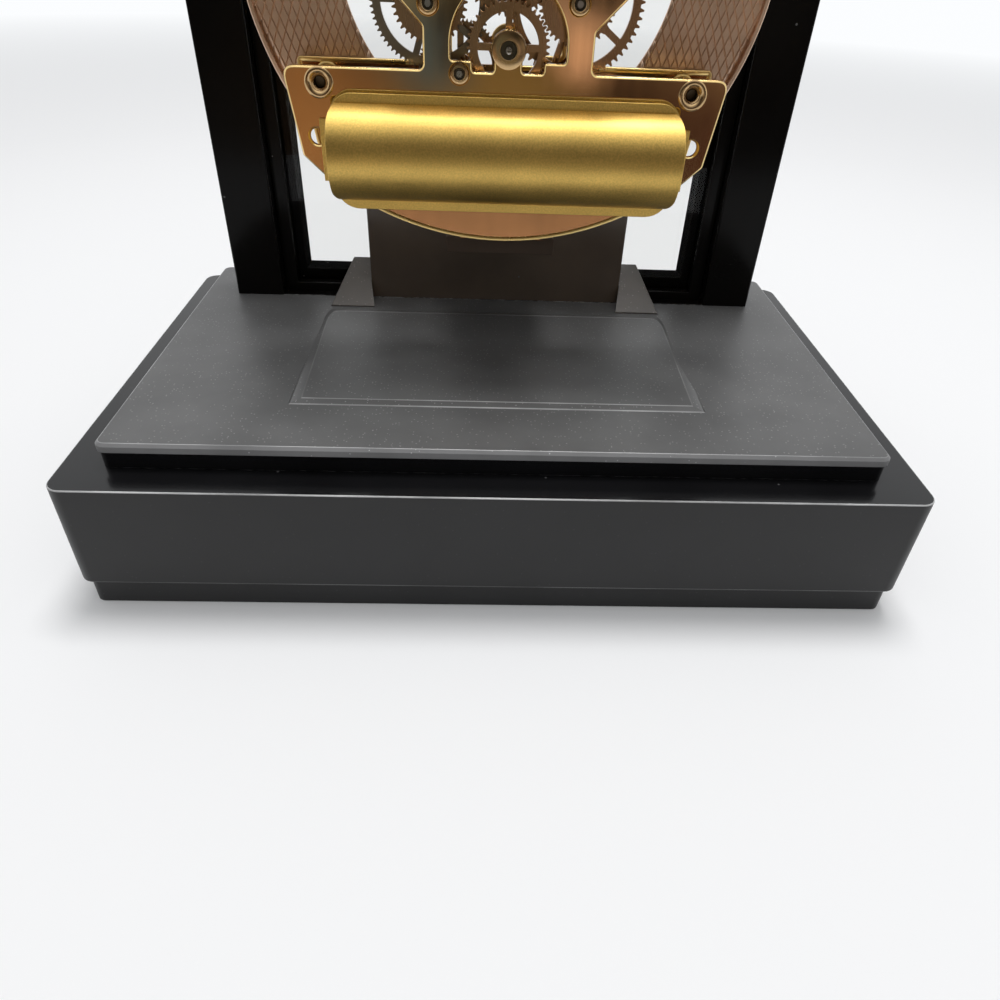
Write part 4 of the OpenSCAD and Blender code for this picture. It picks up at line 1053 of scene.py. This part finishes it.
def stroke(bm, turn, start, end, width):
    """A bar of ink from one point to another, drawn upright at the top of the dial and then turned."""
    start, end = Vector((start[0], 0, start[1])), Vector((end[0], 0, end[1]))
    slant = math.atan2(end.x - start.x, end.z - start.z)
    size = Matrix.Diagonal((width, ink_t, (end - start).length, 1))
    place = Matrix.Translation((start + end) / 2) @ Matrix.Rotation(slant, 4, "Y") @ size
    seat = Matrix.Translation(dial_centre + Vector((0, dial_low.y, 0))) @ Matrix.Rotation(turn, 4, "Y")
    bmesh.ops.create_cube(bm, size=1, matrix=seat @ place)


def letter(bm, turn, kind, x, foot, head):
    """One Roman letter between its foot and head, with serifs at the ends of its strokes."""
    half = letter_w[kind] / 2 - serif_l / 2
    strokes = {"I": [(0, 0, thick_stroke)], "V": [(-half, 0, thick_stroke), (half, 0, thin_stroke)],
               "X": [(-half, half, thick_stroke), (half, -half, thin_stroke)]}[kind]
    for top_x, foot_x, width in strokes:
        stroke(bm, turn, (x + foot_x, foot), (x + top_x, head), width)
        stroke(bm, turn, (x + top_x - serif_l / 2, head), (x + top_x + serif_l / 2, head), thin_stroke)
        if kind != "V":
            stroke(bm, turn, (x + foot_x - serif_l / 2, foot), (x + foot_x + serif_l / 2, foot), thin_stroke)


ink = bmesh.new()
for hour, letters in enumerate(hour_letters):
    turn = math.tau * hour / 12
    x = -sum(letter_w[c] for c in letters) / 2 - letter_gap * (len(letters) - 1) / 2
    for c in letters:
        letter(ink, turn, c, x + letter_w[c] / 2, hour_r - hour_h / 2, hour_r + hour_h / 2)
        x += letter_w[c] + letter_gap
for minute in range(60):
    width = minute_w if minute % 5 else fifth_w
    stroke(ink, math.tau * minute / 60, (0, minute_in), (0, minute_out), width)
for r in (dial_in + circle_gap, minute_in, minute_out):
    near, far, film = r - circle_w / 2, r + circle_w / 2, dial_low.y - ink_t / 2
    circle = bmesh.new()
    turned(circle, [(near, dial_low.y), (near, film), (far, film), (far, dial_low.y), (near, dial_low.y)],
           dial_centre, steps=dial_steps)
    join(ink, circle)


def printed_ink(name):
    """Matt black ink with a slight unevenness."""
    material, tree, shader = surface(name)
    film = use(tree, mottle, Scale=900.0, Detail=3.0)
    colour = ramp(tree, film, [(0.3, (0.006, 0.006, 0.006)), (0.7, (0.014, 0.014, 0.014))])
    coat(tree, shader, colour, spread(tree, film, 0.45, 0.6))
    return material


print_piece = make_piece("dial_print", ink, [printed_ink("dial_ink")])
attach(print_piece, "case")

# Battery cover: a thin pressed shell in satin gold, half round over the cell, with a flat lip
# along both long edges and rounded corners. It clips over the tray and pulls off to the rear.
cover_low, cover_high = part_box("battery_cover")
cell_axis = Vector((0, plate_rear, (cover_low.z + cover_high.z) / 2))
cover_wall = 0.8 * MM
cover_corner = 4 * MM
corner_cuts = 8
cover_round = 0.35 * MM
cover_slack = 0.35 * MM
cover_r = cover_high.y - cell_axis.y - cover_slack
lip_trim = 0.35 * MM
shell_share = 0.75
cover_gold = satin_gold("cover_gold", (0.79, 0.53, 0.146), 0.385)

cover = bmesh.new()
lip_y = cover_low.y + cover_wall
crease = math.asin((lip_y - cell_axis.y) / cover_r)
arc_steps = 40
arc = [(cell_axis.y + cover_r * math.sin(a), cell_axis.z + cover_r * math.cos(a))
       for a in (crease + (math.pi - 2 * crease) * i / arc_steps for i in range(arc_steps + 1))]
lip_top, lip_foot = cover_high.z - lip_trim, cover_low.z + lip_trim
shell = [(cover_low.y, lip_top), (lip_y, lip_top), *arc, (lip_y, lip_foot), (cover_low.y, lip_foot)]
end = cover.faces.new([cover.verts.new((cover_low.x, y, z)) for y, z in shell])
grown(cover, [end], (cover_high.x - cover_low.x, 0, 0))
corner_x = cover_high.x - cover_corner
corner_z = (lip_top - lip_foot) / 2 - cover_corner
for sx in (-1, 1):
    for sz in (-1, 1):
        hub = Vector((sx * corner_x, 0, cell_axis.z + sz * corner_z))
        for i in range(corner_cuts):
            a = math.radians(90 / corner_cuts * (i + 0.5))
            way = Vector((sx * math.cos(a), 0, sz * math.sin(a)))
            rim = cut(cover, hub + way * cover_corner, way, clear_outer=True)
            bmesh.ops.contextual_create(cover, geom=rim)
bmesh.ops.recalc_face_normals(cover, faces=cover.faces)
cover.normal_update()
rounding = [e for e in cover.edges if len(e.link_faces) == 2 and e.calc_face_angle() > 0.6
            and max(f.normal.y for f in e.link_faces) > -0.5 and e.calc_face_angle_signed() > 0]
soften(cover, rounding, cover_round, 3)
cover.normal_update()
bmesh.ops.delete(cover, geom=[f for f in cover.faces if f.normal.y < -0.95], context="FACES")
cover_piece = make_piece("cover_shell", cover, [cover_gold], sharp=28)
wall = cover_piece.modifiers.new("wall", "SOLIDIFY")
wall.thickness = cover_wall * shell_share
wall.offset = -1
stands_for(cover_piece, "satin_gold", "battery_cover")

# Battery tray: a pressed trough behind the cover with a flange on the back plate. It takes the
# cell, and its two end tabs show beside the cover.
softened("battery_tray", "tray_pressing", cover_gold, "satin_gold", width=0.15 * MM)

# Cell: a plain AA cell in a two-colour plastic jacket, crimped at both ends. It lies in the tray
# with its cap to the right, seen from the dial.
cell_low, cell_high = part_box("battery_cell")
cell_r = (cell_high.z - cell_low.z) / 2
cap_r = 2.75 * MM
cap_l = 1 * MM
cap_turn = 0.25 * MM
crimp = [(2, 0), (1.7, 0.3), (0.5, 0.3), (0.15, 0.5), (0, 1)]
shoulder = [(0, 1), (0.15, 0.3), (0.6, 0)]


def jacket(name):
    """A shrunk plastic jacket, dark with a plain copper-coloured band at one end."""
    material, tree, shader = surface(name)
    along = put(tree, "SeparateXYZ", {"Vector": put(tree, "TexCoord").outputs["Object"]}).outputs["X"]
    share = put(tree, "MapRange", {"Value": along, "From Min": cell_low.x, "From Max": cell_high.x})
    colour = ramp(tree, share.outputs["Result"], [(0.69, (0.03, 0.032, 0.036)), (0.7, (0.55, 0.30, 0.12))])
    coat(tree, shader, colour, spread(tree, use(tree, mottle, Scale=300.0, Detail=3.0), 0.22, 0.38))
    return material


cell = bmesh.new()
cap_foot = cell_high.x - cap_l
turned(cell, [(0, cell_low.x), *((cell_r - r * MM, cell_low.x + along * MM) for r, along in crimp),
              *((cell_r - r * MM, cap_foot - along * MM) for r, along in shoulder),
              (cap_r + 0.6 * MM, cap_foot), (cap_r, cap_foot + 0.1 * MM), (cap_r, cell_high.x - cap_turn),
              (cap_r - cap_turn, cell_high.x), (0, cell_high.x)],
       (0, cell_axis.y, cell_axis.z), axis=(1, 0, 0), steps=64)
contact_steel = bare_metal("contact_steel", (0.70, 0.70, 0.68), 0.18)
for face in cell.faces:
    spot = face.calc_center_median()
    if Vector((0, spot.y - cell_axis.y, spot.z - cell_axis.z)).length < cell_r - 0.7 * MM:
        face.material_index = 1
cell_piece = make_piece("dry_cell", cell, [jacket("cell_jacket"), contact_steel])
stands_for(cell_piece, "cell_jacket", "battery_cell")

# Contacts: a flat tab for the cap and a bent leaf for the base, in nickel-plated spring steel.
# They stand at the two ends of the tray.
for contact in ("positive_contact", "negative_contact"):
    softened(contact, contact + "_leaf", contact_steel, "contact_steel", width=0.08 * MM)

# Drive unit: the motor's moulded housing with its white pinion, the circuit board and the quartz
# can beside it, all tucked between the plates over the battery.


def plain_plastic(name, tone, rough):
    """Moulded plastic in one colour with a fine skin."""
    material, tree, shader = surface(name)
    skin = use(tree, mottle, Scale=1500.0, Detail=3.0)
    tint = ramp(tree, skin, [(0.3, shaded(tone, 0.85)), (0.7, tone)])
    coat(tree, shader, tint, spread(tree, skin, rough - 0.05, rough + 0.1))
    roughen(tree, shader, skin, 0.01 * MM, 0.4)
    return material


motor_plastic = plain_plastic("motor_plastic", (0.03, 0.03, 0.035), 0.4)
softened("motor_unit", "motor_housing", motor_plastic, "motor_plastic", width=0.2 * MM)
board_green = plain_plastic("board_green", (0.02, 0.10, 0.045), 0.35)
softened("circuit_board", "board_sheet", board_green, "board_green", width=0.05 * MM)
softened("quartz_can", "crystal_can", contact_steel, "contact_steel", width=0.2 * MM, segments=3)
pinion_plastic = plain_plastic("pinion_plastic", (0.72, 0.68, 0.56), 0.4)
softened("motor_pinion", "motor_pinion_cut", pinion_plastic, "pinion_plastic", width=0.02 * MM, segments=1)

# Arbors: turned steel shafts with brass pinions pressed on them. Each runs in a bush of either
# plate, and the faces beyond a shaft's radius are the pinion's.
shaft_r = 1.2 * MM
arbor_steel = bare_metal("arbor_steel", (0.42, 0.39, 0.35), 0.2)
# The wheel brass is a darker copy of the plate brass, painted shade; the pinions use it too.
wheel_brass = polished_brass("wheel_brass", (0.48, 0.29, 0.15), 0.22)
for arbor in ("drive_arbor", "third_arbor", "centre_arbor", "minute_arbor", "setting_arbor"):
    shaft = merged_copy(arbor)
    axis = sum(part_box(arbor), Vector()) / 2
    for face in shaft.faces:
        if max((v.co - axis).xz.length for v in face.verts) > shaft_r:
            face.material_index = 1
    soften(shaft, sharp_edges(shaft), 0.02 * MM, 1)
    stands_for(make_piece(arbor + "_turned", shaft, [arbor_steel, wheel_brass]), "arbor_steel", arbor)

# Wheels: brass, crossed out with spokes, pressed on their arbors. The hour wheel runs on the
# centre arbor by its long pipe. Their brass is painted darker than the plates', painted shade, and the
# third wheel's darker and greyer still.
# A darker, greyer copy for the third wheel: painted shade.
third_wheel_deep_shade = polished_brass("third_wheel_deep_shade", (0.30, 0.25, 0.18), 0.26)
for wheel in ("drive_wheel", "third_wheel", "centre_wheel", "minute_wheel", "setting_wheel", "hour_wheel"):
    brass = third_wheel_deep_shade if wheel == "third_wheel" else wheel_brass
    softened(wheel, wheel + "_crossed", brass, "wheel_brass", width=0.04 * MM, segments=1)

# Dial studs: short turned brass posts between the front plate and the dial, which they carry. Their
# edges are broken a little.
softened("dial_studs", "dial_posts", turned_brass, "bush_brass", width=0.1 * MM)

# Hands: blades stamped from sheet and painted black, with their edges broken, and a small brass
# nut that holds them on the centre arbor.
hand_black = gloss("hand_black", (0.006, 0.006, 0.006), 0.16)
for hand in ("hour_hand", "minute_hand"):
    softened(hand, hand + "_blade", hand_black, "hand_black", width=0.15 * MM)
softened("hand_nut", "hand_nut_turned", turned_brass, "bush_brass", width=0.25 * MM, segments=3)

# Table: a wide pale sheet under the clock that fades into a white surround. It glows a little where
# it is seen, and the surround lights the clock less brightly than it shows.
floor_half = 8.0
table = bmesh.new()
bmesh.ops.create_grid(table, x_segments=1, y_segments=1, size=floor_half)
floor = bpy.data.objects.new("table", bpy.data.meshes.new("table"))
table.to_mesh(floor.data)
table.free()
bpy.context.scene.collection.objects.link(floor)


def seen_rays(tree):
    """1 for the rays that show a backdrop: seen straight, in a gloss or through glass."""
    rays = put(tree, "LightPath")
    straight = put(tree, "Math", {0: rays.outputs["Is Camera Ray"], 1: rays.outputs["Is Glossy Ray"]},
                   operation="MAXIMUM")
    every = put(tree, "Math", {0: straight.outputs[0], 1: rays.outputs["Is Transmission Ray"]},
                operation="MAXIMUM")
    return every.outputs[0]


table_grey = (0.86, 0.86, 0.865)
table_glow = 0.06
fade_near = 0.4
fade_far = 1.1
surround = (0.97, 0.985, 1)
sky_light = 0.46
pale, pale_tree, pale_shader = surface("pale_table")
table_at = put(pale_tree, "TexCoord").outputs["Object"]
table_far = put(pale_tree, "VectorMath", {0: table_at}, operation="LENGTH")
fading = put(pale_tree, "MapRange", {"Value": table_far.outputs["Value"], "From Min": fade_near,
                                     "From Max": fade_far})
table_share = fading.outputs["Result"]
table_tone = mixed(pale_tree, table_share, (*table_grey, 1), (0, 0, 0, 1))
pale_tree.links.new(table_tone, pale_shader.inputs["Base Color"])
glow = put(pale_tree, "Math", {0: spread(pale_tree, table_share, table_glow, 1.0), 1: seen_rays(pale_tree)},
           operation="MULTIPLY")
pale_tree.links.new(glow.outputs[0], pale_shader.inputs["Emission Strength"])
pale_shader.inputs["Emission Color"].default_value = (*surround, 1)
pale_shader.inputs["Roughness"].default_value = 0.6
pale_shader.inputs["Specular IOR Level"].default_value = 0.0
floor.data.materials.append(pale)

world = bpy.data.worlds.new("studio")
bpy.context.scene.world = world
world.use_nodes = True
sky = world.node_tree
sky.links.new(spread(sky, seen_rays(sky), sky_light, 1.0), sky.nodes["Background"].inputs["Strength"])
sky.nodes["Background"].inputs["Color"].default_value = (*surround, 1)

# Dark card: a flag behind the camera, so that the polished metal has something to mirror. It glows with
# its own colour rather than being lit: dark, with soft patches of colour below and pale above, and it
# shows in reflections alone, where its patches are painted reflections on the plates, wheels, dial and cover.
card_y = 0.24
card_half = 0.5
card_h = 0.55
card_dark = 0.23
card_pale = (0.95, 0.95, 0.92)
card_patches = [
    ((90, 20), 75, (0.36, 0.24, 0.14)), ((-115, 85), 60, (0.37, 0.315, 0.255)),
    ((0, 40), 55, (0.22, 0.19, 0.10)), ((36, 96), 50, (0.19, 0.22, 0.19)),
    ((13, 92), 15, (0.012, 0.012, 0.01)), ((-42, 80), 27, (0.72, 0.6, 0.6)),
    ((25, 62), 24, (0.09, 0.16, 0.26)), ((-46, 87), 22, (0.012, 0.014, 0.012)),
    ((-39, 63), 15, (0.95, 0.74, 0.68)), ((17, 74), 11, (0.02, 0.02, 0.018)),
    ((16, 60), 9, (0.03, 0.028, 0.024)), ((-40, 140), 44, (0.012, 0.018, 0.012)),
    ((-100, 20), 55, (0.08, 0.05, 0.045))]
patch_core = 0.35
flag = bmesh.new()
standing = Matrix.Translation((0, card_y, card_h / 2)) @ Matrix.Rotation(math.pi / 2, 4, "X")
bmesh.ops.create_grid(flag, x_segments=1, y_segments=1, size=1,
                      matrix=standing @ Matrix.Diagonal((card_half, card_h / 2, 1, 1)))
card = bpy.data.objects.new("dark_card", bpy.data.meshes.new("dark_card"))
flag.to_mesh(card.data)
flag.free()
bpy.context.scene.collection.objects.link(card)
card_glow_material, card_glow_tree, card_glow_shader = surface("card_glow")
card_at = put(card_glow_tree, "TexCoord").outputs["Object"]


def painted(tree, at, ground, spot, reach, colour):
    """Paints a soft round glowing patch on the card, a painted reflection in the metal. Its place and reach are
    in mm.
    """
    far = put(tree, "VectorMath", {0: at, 1: (spot[0] * MM, card_y, spot[1] * MM)}, operation="DISTANCE")
    share = put(tree, "MapRange", {"Value": far.outputs["Value"], "From Min": reach * MM,
                                   "From Max": patch_core * reach * MM})
    return mixed(tree, share.outputs["Result"], ground, (*colour, 1))


card_glow_colour = ramp(card_glow_tree, use(card_glow_tree, mottle, Scale=18.0, Detail=2.0),
                   [(0.35, (0.018, 0.013, 0.009)), (0.65, (0.09, 0.062, 0.045))])
for spot, reach, colour in card_patches:
    card_glow_colour = painted(card_glow_tree, card_at, card_glow_colour, spot, reach, colour)
card_height = put(card_glow_tree, "SeparateXYZ", {"Vector": card_at}).outputs["Z"]
paler = put(card_glow_tree, "MapRange", {"Value": card_height, "From Min": card_dark, "From Max": card_h})
card_glow_colour = mixed(card_glow_tree, paler.outputs["Result"], card_glow_colour, (*card_pale, 1))
# The card takes no light and glows with its painted colour: painted reflections.
card_glow_shader.inputs["Base Color"].default_value = (0, 0, 0, 1)
card_glow_tree.links.new(card_glow_colour, card_glow_shader.inputs["Emission Color"])
card_glow_shader.inputs["Emission Strength"].default_value = 1.0
card_glow_shader.inputs["Specular IOR Level"].default_value = 0.0
card_glow_shader.inputs["Roughness"].default_value = 1.0
card.data.materials.append(card_glow_material)
card.visible_camera = False
card.visible_diffuse = False
card.visible_transmission = False
card.visible_shadow = False

# Lights: a small bright softbox over the dial side, and a wide weak one behind the clock that
# lights what the photograph shows.


def softbox(name, place, aim, size, power):
    """A square soft light that points at a spot."""
    lamp = bpy.data.lights.new(name, "AREA")
    lamp.size = size
    lamp.energy = power
    holder = bpy.data.objects.new(name, lamp)
    bpy.context.scene.collection.objects.link(holder)
    holder.location = place
    holder.rotation_euler = (Vector(aim) - Vector(place)).to_track_quat("-Z", "Y").to_euler()


softbox("key", place=(-0.05, -0.13, 0.9), aim=(0, 0, 0.06), size=0.3, power=4.6)
softbox("fill", place=(0, 0.5, 0.75), aim=(0, 0.1, 0), size=0.8, power=0.9)

# Camera: placed as in the photograph, close behind the clock and looking down on its base, with a
# wide lens. Its place is in mm and its turns are in degrees.
camera_at = Vector((4.54, 150.75, 104.4)) * MM
camera_turn = 2.56
camera_dip = 37.34
camera_roll = 2.5
camera = bpy.data.cameras.new("camera")
camera.sensor_width = 36
camera.lens = 27
camera.clip_start = 0.005
eye = bpy.data.objects.new("camera", camera)
bpy.context.scene.collection.objects.link(eye)
heading = Matrix.Rotation(math.radians(180 - camera_turn), 4, "Z")
pitch = Matrix.Rotation(math.radians(90 - camera_dip), 4, "X")
tilt = Matrix.Rotation(math.radians(camera_roll), 4, "Z")
eye.matrix_world = Matrix.Translation(camera_at) @ heading @ pitch @ tilt
bpy.context.scene.camera = eye
bpy.context.scene.view_settings.view_transform = "Standard"
